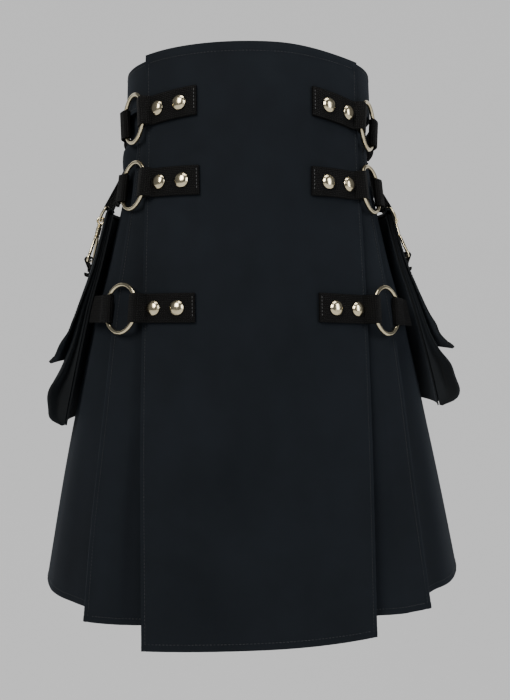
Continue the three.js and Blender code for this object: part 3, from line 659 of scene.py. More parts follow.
def apron_place(z, s, lift=0.0):
    """Point of the apron, which narrows to its hem and drops at its top right corner."""
    taper = APRON_TAPER[0] if s < 0 else APRON_TAPER[1]
    across = s * (1 - taper * smooth((TAPER_FROM - z) / (TAPER_FROM - APRON_HEM)))
    drop = TOP_DROP * smooth(z / APRON_TOP) * smooth((s - 20) / 90)
    return place(z - drop, across, apron_out(z, s) + lift)


def over_apron(z, s, lift, rise=0.0):
    return place(z + rise, s, apron_out(z + rise, s) + 0.5 * CLOTH + lift)


def pucker(distance, seam_in, along):
    """Small gathers that the stitching draws in along a hem, uneven on purpose."""
    waves = 0.16 * math.sin(along / 2.7) + 0.12 * math.sin(along / 4.3 + 1.3)
    return bell(distance, seam_in, 6.0) * waves


def hemmed(distance, edge, along):
    """Outer face beside a sewn edge: the turned cloth stands up, the seam is drawn in and gathers."""
    seam_in, turn, height = edge
    step = height * smooth((turn - distance) / 2.5 + 0.5)
    return step - 0.32 * bell(distance, seam_in, SEAM_WIDTH) + pucker(distance, seam_in, along)


APRON_EDGE = (0, 1.2, 2.6, 3.9, 5.2, 6.8, 8.6, 10.4, 12.5)
BAND_EDGE = (0, 1.2, 2.6, 4, 5.6, 7.5)


def make_apron(settings):
    columns = near_edges(-APRON_HALF, APRON_HALF, APRON_EDGE, 50)
    rows = near_edges(APRON_TOP, APRON_HEM, APRON_EDGE, 190)
    grid = [[apron_place(z, s) for s in columns] for z in rows]

    def relief(r, c):
        z, s = rows[r], columns[c]
        return (hemmed(APRON_HALF - abs(s), SIDE_SEAM, z) + hemmed(APRON_TOP - z, TOP_SEAM, s + 40)
                + hemmed(z - APRON_HEM, APRON_HEM_SEAM, s))

    apron = wall("apron_cloth", grid, settings.cloth * 1000, relief)
    finish_piece(apron, "drill", "front_apron")
    return apron


# Waistband and pleated skirt
def make_waistband(settings):
    half = half_girth(0) - SEAM_GAP / 2
    columns = spaced(-1, 1, 193)
    rows = near_edges(BAND_TOP, BAND_BOTTOM, BAND_EDGE, 8)
    grid = []
    for z in rows:
        scale = half_girth(z) / half_girth(0)
        grid.append([place(z, half_girth(z) + k * half * scale, -0.5 * CLOTH) for k in columns])

    def relief(r, c):
        edge = min(BAND_TOP - rows[r], rows[r] - BAND_BOTTOM)
        return 0.3 * (pucker(edge, BAND_SEAM, columns[c] * half) - bell(edge, BAND_SEAM, SEAM_WIDTH))

    band = cloth_piece("waistband", grid, settings, relief)
    return band


def rounded_corner(before, corner, after, reach, steps):
    start = corner.lerp(before, reach / (corner - before).length)
    end = corner.lerp(after, reach / (corner - after).length)
    return [start * (1 - t) ** 2 + corner * (2 * t * (1 - t)) + end * t * t for t in steps]


def panel_fall(z, share, index):
    """Soft fall of one pleat's panel, different from panel to panel."""
    total = 0.0
    for i, fall in enumerate(PANEL_FALLS):
        along = (fall["z"] - z) / fall["length"]
        if -0.2 < along < 1.4:
            lean = 0.06 * math.sin(2.1 * index + 1.7 * i)
            weight = 0.65 + 0.35 * math.cos(1.3 * index + 2.3 * i)
            across = bell(share, fall["share"] + lean * (0.4 + along), fall["width"])
            total += weight * smooth((along + 0.2) / 0.6) * fall["depth"] * across
    return total * openness(z) ** 0.5


PANEL_SHARES = tuple(spaced(0.045, 0.9, 20))
FOLD_STEPS = (12.0, 8.5, 6.6, 5.2, 4.0, 2.9)
BEND_STEPS = (0, 0.25, 0.5, 0.75, 1)
# Columns of a side's section from one pleat's stitches to the next one's, and the column at which
# the side ends, hidden just past the last inner fold
STITCH_STRIDE = 44
SIDE_END = 170


def hip_fill(z, s, side):
    """How far the loose cloth of the left hip stands out."""
    if side > 0:
        return 0.0
    fade = smooth((HIP["top"] - z) / HIP["rise"]) * smooth((z - HIP["foot"]) / HIP["fall"])
    return HIP["out"] * fade * bell(s, HIP["s"], HIP["width"])


def pleat_section(z, side):
    """Points (s, out) of one side's pleated cloth, from the front seam to the centre back."""
    opened = openness(z)
    radius = mix(*FOLD_RADIUS, opened)
    depth = mix(*PLEAT_DEPTH, opened)
    low = mix(*TUCK_OUT, opened)
    corners = [Vector((PANEL_START, mix(*START_OUT, opened)))]
    for index, pleat in enumerate(PLEATS):
        s = mix(pleat["waist"], pleat["hem"], opened)
        s += opened * FOLD_SWAY * math.sin(z / FOLD_WAVE + 2.0 * index + side)
        lift = mix(1, pleat["left" if side < 0 else "right"], opened)
        high = FOLD_OUT[0] + (FOLD_OUT[1] - FOLD_OUT[0]) * opened * lift
        corners += [Vector((s, high)), Vector((s, high - 2 * radius)),
                    Vector((s - depth, low + 2 * radius)), Vector((s - depth, low))]
    corners.append(Vector((half_girth(z), mix(TUCK_OUT[0] + 2, 2, opened))))

    points = [corners[0]]
    for index, i in enumerate(range(1, len(corners), 4)):
        previous, target = points[-1], corners[i]
        length = (target - previous).length
        for share in PANEL_SHARES:
            point = previous.lerp(target, share * (1 - FOLD_REACH / length))
            sunk = panel_fall(z, share, index + (0 if side > 0 else 5)) * smooth(min(share, 1 - share) * 6)
            points.append(Vector((point.x, point.y - sunk + hip_fill(z, point.x, side))))
        points += [target.lerp(previous, step / length) for step in FOLD_STEPS]
        if i + 1 >= len(corners):
            points.append(target)
            break
        points += rounded_corner(previous, corners[i], corners[i + 1], radius, BEND_STEPS)
        points += rounded_corner(corners[i], corners[i + 1], corners[i + 2], radius, BEND_STEPS[2:])
        points.append(corners[i + 1].lerp(corners[i + 2], 0.5))
        points += rounded_corner(corners[i + 1], corners[i + 2], corners[i + 3], radius, BEND_STEPS[::2])
        points += rounded_corner(corners[i + 2], corners[i + 3], corners[i + 4], radius, BEND_STEPS[1:])
    return points


SKIRT_EDGE = (0, 1.3, 3.0, 4.7, 6.4, 8.1, 9.8, 12.0)


def skirt_rows():
    return near_edges(SKIRT_TOP, SKIRT_HEM, SKIRT_EDGE, 92)


def fold_relief(z, point):
    """Outer face beside a fold's edge seam: a pressed ridge with a groove just inside it."""
    total, opened = 0.0, openness(z)
    for pleat in PLEATS:
        distance = mix(pleat["waist"], pleat["hem"], opened) - point.x
        if 0 <= distance < FOLD_REACH:
            total += FOLD_SEAM["ridge"] * smooth((FOLD_SEAM["end"] - distance) / FOLD_SEAM["over"])
            total -= FOLD_SEAM["groove"] * bell(distance, FOLD_SEAM["at"], FOLD_SEAM["width"])
    return total


def make_skirt(settings):
    rows = skirt_rows()
    sections = {side: [pleat_section(z, side) for z in rows] for side in (-1, 1)}
    cut = SIDE_END

    def gap_point(points, a, b):
        return points[a].lerp(points[b], 0.5 * SEAM_GAP / (points[a] - points[b]).length + 0.5)

    made = []
    for name, side in (("skirt_left", -1), ("skirt_right", 1)):
        flat = []
        for points in sections[side]:
            row = points[:cut] + [gap_point(points, cut, cut - 1)]
            row[0] = Vector((row[0].x + SEAM_GAP / 2, row[0].y))
            flat.append(row if side > 0 else row[::-1])
        grid = [[place(z, side * p.x, p.y) for p in row] for z, row in zip(rows, flat)]

        def relief(r, c, flat=flat):
            z, point = rows[r], flat[r][c]
            return fold_relief(z, point) + hemmed(z - SKIRT_HEM, SKIRT_HEM_SEAM, point.x)

        skirt = cloth_piece(name, grid, settings, relief)
        made.append(skirt)
    back = []
    for right, left in zip(sections[1], sections[-1]):
        half = [gap_point(right, cut - 1, cut)] + right[cut:]
        other = [gap_point(left, cut - 1, cut)] + left[cut:]
        back.append([(p.x, p.y) for p in half] + [(-p.x, p.y) for p in reversed(other[:-1])])
    grid = [[place(z, s, out) for s, out in row] for z, row in zip(rows, back)]
    skirt = cloth_piece("skirt_back", grid, settings,
                        lambda r, c: hemmed(rows[r] - SKIRT_HEM, SKIRT_HEM_SEAM, back[r][c][0]))
    return made + [skirt]


def make_under_apron(settings):
    edge = PANEL_START - SEAM_GAP / 2
    columns = spaced(-edge, edge, 41)
    rows = skirt_rows()
    grid = [[place(z, s, mix(*START_OUT, openness(z))) for s in columns] for z in rows]
    panel = cloth_piece("under_apron", grid, settings,
                        lambda r, c: hemmed(rows[r] - SKIRT_HEM, SKIRT_HEM_SEAM, columns[c]))
    return panel


# Straps, rings and snaps
def skirt_out(z):
    """Outermost face of the band or the pleats at one height."""
    return max(LEAST_OUT, mix(*FOLD_OUT, openness(z)) + CLOTH)


def over_skirt(z, s, lift, rise=0.0):
    return place(z + rise, s, skirt_out(z) + lift)


def strap_places():
    """Each strap with its ring's frame, turned to follow the strap."""
    for row in STRAP_ROWS:
        for name, side in (("left", -1), ("right", 1)):
            drop = row[f"{name}_drop"]
            z = row[name] - drop
            ring = frame_at(z, side * (row["end"] + RING_STEP), row["ring_out"])
            turn = Matrix.Rotation(-side * math.atan2(drop, RING_STEP), 3, ring["normal"])
            up = turn @ ring["up"]
            lean = Matrix.Rotation(side * math.radians(RING_LEAN), 3, up)
            ring.update(z=z, drop=drop, along=lean @ turn @ ring["along"], up=up,
                        normal=lean @ ring["normal"])
            yield row, name, side, ring


def strap_rise(row, ring, s):
    """How far above its ring's height a strap's middle line lies at arc place s."""
    return ring["drop"] * (1 - (s - row["end"]) / RING_STEP)


def across_stops():
    half = STRAP_HEIGHT / 2
    return near_edges(half, -half, (0, 0.8, 2.0, 3.2, 4.6), 5)


def half_turn(wire, round_by, out, radius, count=13):
    """Webbing's middle points from under a wire to over it, round the side that round_by points to."""
    return [wire + (round_by * math.cos(a) + out * math.sin(a)) * (radius * MM)
            for a in angles(-90, 90, count)]


def doubled_webbing(ring, side, toward, lower, upper):
    """Middle points of webbing doubled round a ring's wire, rows from top to bottom."""
    loop = RING_WIRE + WEB_CLEAR + WEBBING / 2
    half = STRAP_HEIGHT / 2
    wire_at = math.sqrt((RING_RADIUS - RING_WIRE) ** 2 - half**2) + RING_WIRE - WEB_CLEAR
    away = ring["along"] * (side * toward)
    aside = ring["normal"] * (loop * MM)
    grid = []
    for height in across_stops():
        wire = ring["at"] + (away * wire_at + ring["up"] * height) * MM
        z = ring["z"] + height
        turn = half_turn(wire, -away, ring["normal"], loop)
        past = wire + away * (LOOP_REACH * MM)
        under = [at(z) for at in lower]
        over = [at(z) for at in reversed(upper)]
        grid.append(under + curve_through([under[-1], past - aside, turn[0]], 4)[1:-1] + turn
                    + curve_through([turn[-1], past + aside, over[0]], 4)[1:-1] + over)
    return grid


def webbing_relief(count, sewn):
    """Selvedges a little thinner, and a line drawn in across the sewn end."""
    stops = across_stops()
    first = count - len(sewn)

    def relief(r, c):
        edge = STRAP_HEIGHT / 2 - abs(stops[r])
        return -0.22 * smooth((1.6 - edge) / 1.6) - (sewn[c - first] if c >= first else 0.0)

    return relief


def make_straps():
    made = []
    for row, name, side, ring in strap_places():
        end = row["end"]
        start = end + RING_STEP + KEEPER["start"]

        def layers(stops, lie, row=row, side=side, ring=ring):
            """Both layers of webbing over what they lie on, as functions of the height at each stop."""
            return [[lambda z, s=s, lift=lift: lie(z, side * s, WEB_CLEAR + lift, strap_rise(row, ring, s))
                     for s in stops] for lift in (0.5 * WEBBING, 1.5 * WEBBING + WEB_CLEAR)]

        front = near_edges(end, end + RING_STEP - STRAP_LEAVES, (0, 1.0, 2.2, 3.4, 4.6, 6.5), 12)
        rear = spaced(start + KEEPER["length"], start, 8)
        sewn = [0.3 * bell(s, end + STRAP_SEAM, 0.8) for s in reversed(front)]
        for kind, toward, stops, lie, drawn in (("strap", -1, front, over_apron, sewn),
                                                ("keeper", 1, rear, over_skirt, [])):
            grid = doubled_webbing(ring, side, toward, *layers(stops, lie))
            relief = webbing_relief(len(grid[0]), drawn)
            made.append(web_piece(f"{kind}_{name}_{row['row']}", grid, relief))
    return made


def settle(obj, matrix):
    """Moves the place of a new primitive into its mesh, so that the object stays at the origin."""
    obj.data.transform(matrix)
    obj.matrix_world = Matrix.Identity(4)
    obj.data.update()
    return obj


def basis(x, y, z, at):
    matrix = Matrix((x, y, z)).transposed().to_4x4()
    matrix.translation = at
    return matrix


def make_ring(name, ring, radius, wire):
    bpy.ops.object.select_all(action="DESELECT")
    bpy.ops.mesh.primitive_torus_add(major_radius=radius * MM, minor_radius=wire * MM,
                                     major_segments=96, minor_segments=20)
    obj = bpy.context.active_object
    obj.name = name
    settle(obj, basis(ring["along"], ring["up"], ring["normal"], ring["at"]))
    shade(obj, 60)
    return obj


def revolve(name, profile, matrix, segments=48):
    """A turned piece from (radius, height) points in millimetres, turned about its own Z."""
    points = [Vector((0, 0, profile[0][1])) * MM]
    for radius, height in profile[1:-1]:
        for k in range(segments):
            a = 2 * math.pi * k / segments
            points.append(Vector((radius * math.cos(a), radius * math.sin(a), height)) * MM)
    points.append(Vector((0, 0, profile[-1][1])) * MM)
    rings = len(profile) - 2
    faces = []
    for k in range(segments):
        n = (k + 1) % segments
        faces.append((0, 1 + n, 1 + k))
        for r in range(rings - 1):
            a, b = 1 + r * segments, 1 + (r + 1) * segments
            faces.append((a + k, a + n, b + n, b + k))
        last = 1 + (rings - 1) * segments
        faces.append((last + k, last + n, len(points) - 1))
    obj = new_object(name, points, faces, sharp=50)
    return settle(obj, matrix)


def snap_profile():
    """Half outline of a domed cap: a rolled rim, then the dome."""
    rim, wide = SNAP_RIM, SNAP_RADIUS
    dome = [(wide * 0.9 * math.cos(a), rim + (SNAP_HEIGHT - rim) * math.sin(a))
            for a in (math.radians(degrees) for degrees in (8, 20, 34, 48, 62, 76))]
    return [(0, 0), (wide - 0.8, 0), (wide - 0.2, 0.3), (wide, 0.8), (wide - 0.3, rim),
            (wide * 0.93, rim + 0.15), *dome, (0, SNAP_HEIGHT)]


def make_snap(name, at, normal):
    matrix = normal.to_track_quat("Z", "Y").to_matrix().to_4x4()
    matrix.translation = at
    return revolve(name, snap_profile(), matrix)


def make_rings_and_snaps():
    made = []
    for row, name, side, ring in strap_places():
        label = f"{name}_{row['row']}"
        obj = make_ring(f"ring_{label}_metal", ring, RING_RADIUS, RING_WIRE)
        made.append(finish_piece(obj, "silver_metal", f"ring_{label}"))
        for i, step in enumerate(SNAP_STEPS):
            s = row["end"] + step
            normal = frame_at(ring["z"], side * s, 0)["normal"]
            at = over_apron(ring["z"] + strap_rise(row, ring, s), side * s, STRAP_FACE + SNAP_SEAT)
            obj = make_snap(f"snap_{label}_{i + 1}_metal", at, normal)
            made.append(finish_piece(obj, "silver_metal", f"snap_{label}_{i + 1}"))
    return made


# Pockets
def pocket_place(pocket, down, across, out):
    z = POCKET_TOP - pocket["drop"] - down * pocket["upright"]
    s = POCKET_EDGE * half_girth(z) + across
    lean = pocket["flare"] * smooth(down / FLARE_OVER)
    return over_skirt(z, pocket["side"] * s, POCKET_LIFT + lean + out)


def off_middle(across):
    return abs(across - POCKET_WIDTH / 2) / (POCKET_WIDTH / 2)


def bag_front(pocket, down, across):
    """How far the bag's front stands out from the back panel."""
    depth = read_table(POCKET_BAG, "down", "depth", down)
    off = off_middle(across)
    crown = POCKET_CROWN * (1 - off * off) * smooth(down / CROWN_OVER)
    corner = pocket["sag"] * off**4 * smooth((down - BAG_SAG["start"]) / BAG_SAG["over"])
    corner *= smooth((BAG_SAG["end"] - down) / BAG_SAG["fade"])
    return depth + crown + corner + bag_creases(pocket, down, across)


def bag_creases(pocket, down, across):
    """Soft dents of the filled-out bag, uneven from side to side."""
    x = across / POCKET_WIDTH
    turn = pocket["side"]
    low = 1.2 * bell(down, 212, 11) * math.sin(math.pi * min(1, max(0, x)))
    lumps = 1.9 * off_middle(across) ** 6 * math.sin(down / 7.5 + turn + 4 * x) * smooth((down - 165) / 40)
    total = lumps - low
    for dent in BAG_DENTS:
        strength = smooth((down - dent["start"]) / dent["over"])
        total += dent["depth"] * strength * bell(x, dent["share"] + dent["turn"] * turn, dent["width"])
    return total * smooth((250 - down) / 25)


def flap_out(pocket, down, across):
    curl = pocket["curl"] * off_middle(across) ** 4 * (max(0, down) / FLAP_END) ** 3
    wave = math.sin(down / 5.5 + 1.3 * pocket["side"] + 0.05 * across)
    crumple = 1.2 * (1 + wave) * off_middle(across) ** 6 * smooth((down - 120) / 35)
    return bag_front(pocket, max(0, down), across) + FLAP_LIFT + curl + crumple


def make_pocket(pocket, settings):
    side = pocket["side"]
    downs = near_edges(0, POCKET_BAG[-1]["down"], (0, 2, 4, 7), 56)
    columns = near_edges(0, POCKET_WIDTH, (0, 1.5, 3, 4.5, 6.5), 34)

    def piece(kind, grid, relief=None):
        ordered = grid if side > 0 else [row[::-1] for row in grid]
        return cloth_piece(f"pocket_{kind}_{pocket['name']}", ordered, settings, relief, "pocket_cloth")

    back = piece("back", [[pocket_place(pocket, down, across, 0) for across in columns] for down in downs])

    seat = CLOTH + LAY_GAP
    grid = []
    for down in downs:
        tuck = read_table(POCKET_BAG, "down", "tuck", down)
        edge = bag_front(pocket, down, 1)
        fold = curve_through([Vector(p) for p in (
            (1, seat), (1 + 0.8 * tuck, mix(seat, edge, 0.35)), (1 + tuck, mix(seat, edge, 0.55)),
            (1, mix(seat, edge, 0.9)), (2, edge))], 4)
        inner = [across for across in columns if 4 < across < POCKET_WIDTH - 4]
        row = [(p.x, p.y) for p in fold] + [(across, bag_front(pocket, down, across)) for across in inner]
        row += [(POCKET_WIDTH - p.x, p.y) for p in reversed(fold)]
        grid.append([pocket_place(pocket, down, across, out) for across, out in row])
    bag = piece("bag", grid)

    width = near_edges(-FLAP_OVER, POCKET_WIDTH + FLAP_OVER, FLAP_EDGE, 34)
    rows = [*FLAP_TURN, *((down, 1) for down in near_edges(4, FLAP_END, FLAP_EDGE, 34))]
    grid = [[pocket_place(pocket, down, a, share * flap_out(pocket, down, a)) for a in width]
            for down, share in rows]

    def relief(r, c):
        across = width[c] if side > 0 else width[-1 - c]
        edge = min(across, POCKET_WIDTH - across) + FLAP_OVER
        hem = FLAP_END - rows[r][0]
        return (hemmed(edge, FLAP_SEAM, r * 4.0) + hemmed(hem, FLAP_SEAM, across)
                + 1.1 * smooth((8 - hem) / 3))

    flap = piece("flap", grid, relief)
    return [back, bag, flap]


def pocket_frame(pocket, across, down, out):
    """A place on the pocket with its directions along, up and out."""
    at = pocket_place(pocket, down, across, out)
    along = (pocket_place(pocket, down, across + 1, out) - at).normalized()
    up = (pocket_place(pocket, down - 1, across, out) - at).normalized()
    return {"at": at, "along": along, "up": up, "normal": (along.cross(up) * pocket["side"]).normalized()}


def tube(name, points, wire, sides=14):
    """Closed loop of bent wire along a line that lies in one plane."""
    count = len(points)
    plane = Vector((0, 0, 0))
    for i in range(count):
        plane += (points[i] - points[0]).cross(points[(i + 1) % count] - points[0])
    plane.normalize()
    corners, faces = [], []
    for i, at in enumerate(points):
        out = direction(points, i, looped=True).cross(plane).normalized()
        a, b = i * sides, (i + 1) % count * sides
        for k in range(sides):
            angle = 2 * math.pi * k / sides
            corners.append(at + (out * math.cos(angle) + plane * math.sin(angle)) * (wire * MM))
            n = (k + 1) % sides
            faces.append((a + k, b + k, b + n, a + n))
    return new_object(name, corners, faces, sharp=60)


def loop_through(points, steps):
    """Closed smooth line through points."""
    line = curve_through([points[-1], *points, *points[:2]], steps)
    return line[steps:-2 * steps]


def over_flap(pocket, down, across, lift):
    normal = pocket_frame(pocket, across, down, 0)["normal"]
    at = pocket_place(pocket, down, across, flap_out(pocket, down, across))
    return at + normal * ((0.5 * CLOTH + lift) * MM)


def tab_fold(pocket, across, shift):
    lift = WEB_CLEAR + WEBBING + TAB["fold_clear"] + FITTING_WIRE
    return over_flap(pocket, TAB["top"], across + shift, lift)


def join(name, objects):
    bpy.ops.object.select_all(action="DESELECT")
    for obj in objects:
        obj.select_set(True)
    bpy.context.view_layer.objects.active = objects[0]
    bpy.ops.object.join()
    objects[0].name = name
    return objects[0]


def bar_frame(pocket, across):
    """Frame of a D ring's bar, its up direction turned so that the bow tips outwards."""
    bar = pocket_frame(pocket, across, D_RING["down"], D_RING["out"])
    tip = math.radians(D_RING["tip"])
    bar["up"] = bar["up"] * math.cos(tip) - bar["normal"] * math.sin(tip)
    return bar


def make_d_ring(pocket, label, across):
    bar = bar_frame(pocket, across)
    half = D_RING["half_width"]
    bow = D_RING["height"] - half
    outline = [(share * half, 0) for share in (-0.8, -0.3, 0.3, 0.8)] + [(half, -2)]
    outline += [(half * math.cos(a), -bow - half * math.sin(a)) for a in angles(0, 180, 17)]
    outline += [(-half, -2)]
    points = [bar["at"] + (bar["along"] * x + bar["up"] * y) * MM for x, y in outline]
    obj = tube(f"d_ring_{label}_metal", loop_through(points, 4), FITTING_WIRE)
    return finish_piece(obj, "silver_metal", f"d_ring_{label}")


def make_hook(pocket, label, place_at):
    """Swivel snap hook: eye, barrel with two collars, and the wide bow in the tab's fold."""
    bar = bar_frame(pocket, place_at)
    eye_at = bar["at"] - bar["up"] * (D_RING["height"] * MM)
    axis = tab_fold(pocket, place_at, 0) - eye_at
    length = axis.length / MM
    axis.normalize()
    half = 0.5 * TAB["width"]
    across = tab_fold(pocket, place_at, half) - tab_fold(pocket, place_at, -half)
    normal = across.cross(axis).normalized()
    along = axis.cross(normal)
    ring = make_ring("eye", {"along": axis, "up": normal, "normal": along, "at": eye_at},
                     HOOK["eye"], HOOK["eye_wire"])
    start, size, r = HOOK["eye"], HOOK["barrel_length"], HOOK["barrel"]
    collar = [(r * 0.8, 0), (r, 0.5), (r, 2.4), (r * 0.78, 2.9), (r * 0.78, 3.6), (r, 4.1)]
    profile = [(0, 0), *collar, (r, size - 4.4), (r * 0.8, size - 3.9), (r * 0.8, size - 3.1),
               (r, size - 2.6), (r, size - 0.5), (r * 0.8, size), (0, size)]
    barrel = revolve("barrel", profile, basis(along, normal, axis, eye_at + axis * (start * MM)), 32)
    top = start + size - 1
    wide, neck = HOOK["half_width"], HOOK["neck"]
    right = [(neck - 1.2, top), (neck + 1.5, top + 1.5), (wide * 0.85, length - 9), (wide, length - 5.5),
             (wide, length - 2), (wide - 2, length), (wide * 0.4, length)]
    outline = [(1.2 - neck, top), *right] + [(-x, y) for x, y in reversed(right[1:])]
    points = [eye_at + (along * x + axis * y) * MM for x, y in outline]
    bow = tube("bow", loop_through(points, 4), FITTING_WIRE)
    obj = join(f"snap_hook_{label}_metal", [ring, barrel, bow])
    return finish_piece(obj, "silver_metal", f"snap_hook_{label}")


def narrow_stops(width):
    return near_edges(-width / 2, width / 2, (0, 0.8, 2, 3.2), 3)


def make_hanger(pocket, label, across):
    """Webbing sewn on the skirt and doubled round a D ring's bar."""
    bar = bar_frame(pocket, across)
    s = pocket["side"] * (POCKET_EDGE * half_girth(bar["at"].z / MM) + across)
    low, high = (pocket["hanger_lift"] + lift for lift in (0.5 * WEBBING, 1.5 * WEBBING + WEB_CLEAR))
    leave = over_skirt(HANGER["leaves"], s, low)
    fall = (bar["at"] - leave).normalized()
    over = (fall.cross(bar["along"]) * pocket["side"]).normalized()
    turn = half_turn(bar["at"], fall, over, FITTING_WIRE + WEB_CLEAR + WEBBING / 2)
    first = curve_through([over_skirt(HANGER["top"], s, low), leave, turn[0]], 6)
    back = over_skirt(HANGER["leaves"], s, high) + over * (HANGER["slack"] * MM)
    second = curve_through([turn[-1], back, over_skirt(HANGER["top"], s, high)], 6)
    path = first[:-1] + turn + second[1:]
    grid = [[at + bar["along"] * (k * MM) for at in path] for k in narrow_stops(HANGER["width"])]
    return web_piece(f"hanger_{label}", grid)


def make_tab(pocket, label, across):
    """Tab sewn on the flap: a fold round the hook's bow above, a curled end below."""
    loop = FITTING_WIRE + TAB["fold_clear"] + 0.5 * WEBBING
    low = WEB_CLEAR + 0.5 * WEBBING
    high = low + WEBBING + WEB_CLEAR
    base = pocket_frame(pocket, across, TAB["top"], 0)
    grid = []
    for shift in narrow_stops(TAB["width"]):
        s = across + shift
        curl = [over_flap(pocket, TAB["end"] + down, s, low + lift * TAB["knob"]) for down, lift in TAB_CURL]
        turn = half_turn(tab_fold(pocket, across, shift), base["up"], base["normal"], loop, 9)
        upper = [over_flap(pocket, down, s, high + lift) for down, lift in TAB_UPPER]
        grid.append(curve_through(curl, 3) + turn + upper)
    return web_piece(f"tab_{label}", grid)


# Sewing
def sewing(name, lines, settings, width=0.55, height=0.32, colour="thread"):
    """Thread stitches along lines of (point, normal), as one piece."""
    pitch, length = settings.stitch_pitch, settings.stitch_length
    points, faces = [], []
    for line in lines:
        runs = run_lengths([point for point, _ in line])

        def at(distance, line=line, runs=runs):
            i = bisect.bisect_right(runs, distance, 1, len(runs) - 1) - 1
            t = (distance - runs[i]) / max(1e-9, runs[i + 1] - runs[i])
            return line[i][0].lerp(line[i + 1][0], t), line[i][1].lerp(line[i + 1][1], t).normalized()

        for k in range(int((runs[-1] - length) / pitch)):
            start, normal = at((k + STITCH["start"]) * pitch)
            end = at((k + STITCH["start"]) * pitch + length)[0]
            across = (end - start).normalized().cross(normal)
            first = len(points)
            points.append(start - normal * (STITCH["sunk"] * MM))
            for share in (0.22, 0.78):
                middle = start.lerp(end, share) + normal * (STITCH["lift"] * MM)
                for x, y in ((-width / 2, 0), (0, height), (width / 2, 0), (0, -height)):
                    points.append(middle + (across * x + normal * y) * MM)
            points.append(end - normal * (STITCH["sunk"] * MM))
            for q in range(4):
                a, b = first + 1 + q, first + 1 + (q + 1) % 4
                faces += [(first, b, a), (a, b, b + 4, a + 4), (first + 9, a + 4, b + 4)]
    obj = new_object(name, points, faces, sharp=80)
    obj.data.materials.append(MATERIALS[colour])
    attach(obj, "root")
    return obj


def seam(function, stops, lift):
    """(point, normal) along a seam; function(stop) gives (z, s, out)."""
    line = []
    for stop in stops:
        z, s, out = function(stop)
        normal = frame_at(z, s, out)["normal"]
        line.append((place(z, s, out) + normal * (lift * MM), normal))
    return line


def apron_seams(face):
    """Seams down both sides of the apron, and along its top and hem."""
    def stitched(z, s):
        return apron_place(z, s, face + THREAD_LIFT["apron"]), frame_at(z, s, 0)["normal"]

    heights = spaced(APRON_TOP - 2, APRON_HEM + 2, 150)
    spread = spaced(-APRON_HALF + 2, APRON_HALF - 2, 60)
    edge = APRON_HALF - SIDE_SEAM[0]
    top, hem = APRON_TOP - TOP_SEAM[0], APRON_HEM + APRON_HEM_SEAM[0]
    return ([[stitched(z, s) for z in heights] for s in (-edge, edge)]
            + [[stitched(z, s) for s in spread] for z in (top, hem)])


def skirt_seams(face):
    """Seams along the hem, and down the edge of each fold."""
    lines = []
    hem = SKIRT_HEM + SKIRT_HEM_SEAM[0]
    on_hem = face + THREAD_LIFT["hem"]
    for side in (-1, 1):
        section = pleat_section(hem, side)
        for index in range(len(PLEATS)):
            first = index * STITCH_STRIDE
            last = first + len(PANEL_SHARES) + len(FOLD_STEPS)
            panel = section[first + (1 if index else 0):last]
            lines.append(seam(lambda p, side=side: (hem, side * p.x, p.y), panel, on_hem))

            def fold_line(z, side=side, column=last - 2):
                p = pleat_section(z, side)[column]
                return z, side * p.x, p.y

            heights = spaced(SKIRT_TOP - 22, SKIRT_HEM + 2, 110)
            lines.append(seam(fold_line, heights, face + THREAD_LIFT["fold"]))
    edge = PANEL_START - 4
    out = mix(*START_OUT, openness(hem))
    return lines + [seam(lambda s: (hem, s, out), spaced(-edge, edge, 30), on_hem)]


def band_seams(face):
    """Seams along the waistband's top and bottom, as far as the apron leaves them open."""
    stops = spaced(APRON_HALF + 2, 2 * half_girth(0) - APRON_HALF - 2, 120)
    return [seam(lambda s, z=z: (z, s, -0.5 * CLOTH), stops, face + THREAD_LIFT["band"])
            for z in (BAND_TOP - BAND_SEAM, BAND_BOTTOM + BAND_SEAM)]


def strap_seams():
    """One row of stitches across the front end of each strap."""
    lines = []
    inner = STRAP_HEIGHT / 2 - STRAP_SEAM
    for row, _, side, ring in strap_places():
        s = row["end"] + STRAP_SEAM
        heights = [ring["z"] + strap_rise(row, ring, s) + height for height in spaced(inner, -inner, 12)]
        lift = STRAP_FACE + THREAD_LIFT["strap"]
        lines.append([(over_apron(z, side * s, lift), frame_at(z, side * s, 0)["normal"]) for z in heights])
    return lines


def flap_seams():
    """Seams down both sides of each flap and along its hem."""
    lines = []
    inner, low = FLAP_SEAM[0] - FLAP_OVER, FLAP_END - FLAP_SEAM[0]
    for pocket in POCKETS:
        sides = [[(down, across) for down in spaced(4, low, 40)] for across in (inner, POCKET_WIDTH - inner)]
        hem = [(low, across) for across in spaced(inner, POCKET_WIDTH - inner, 40)]
        for places in (*sides, hem):
            lines.append([(over_flap(pocket, down, across, THREAD_LIFT["flap"]),
                           pocket_frame(pocket, across, down, 0)["normal"]) for down, across in places])
    return lines


def make_sewing(settings):
    face = 0.5 * settings.cloth * 1000
    return [sewing("sewing_apron", apron_seams(face), settings),
            sewing("sewing_skirt", skirt_seams(face), settings),
            sewing("sewing_waistband", band_seams(face), settings),
            sewing("sewing_straps", strap_seams(), settings, 0.7, 0.36, "strap_thread"),
            sewing("sewing_pockets", flap_seams(), settings)]


# Stage
def area_light(name, location, target, size, power, colour):
    bpy.ops.object.light_add(type="AREA", location=location)
    light = bpy.context.active_object
    light.name = name
    light.data.shape = "RECTANGLE"
    light.data.size, light.data.size_y = size
    light.data.energy = power
    light.data.color = colour
    light.rotation_euler = (Vector(target) - light.location).to_track_quat("-Z", "Y").to_euler()


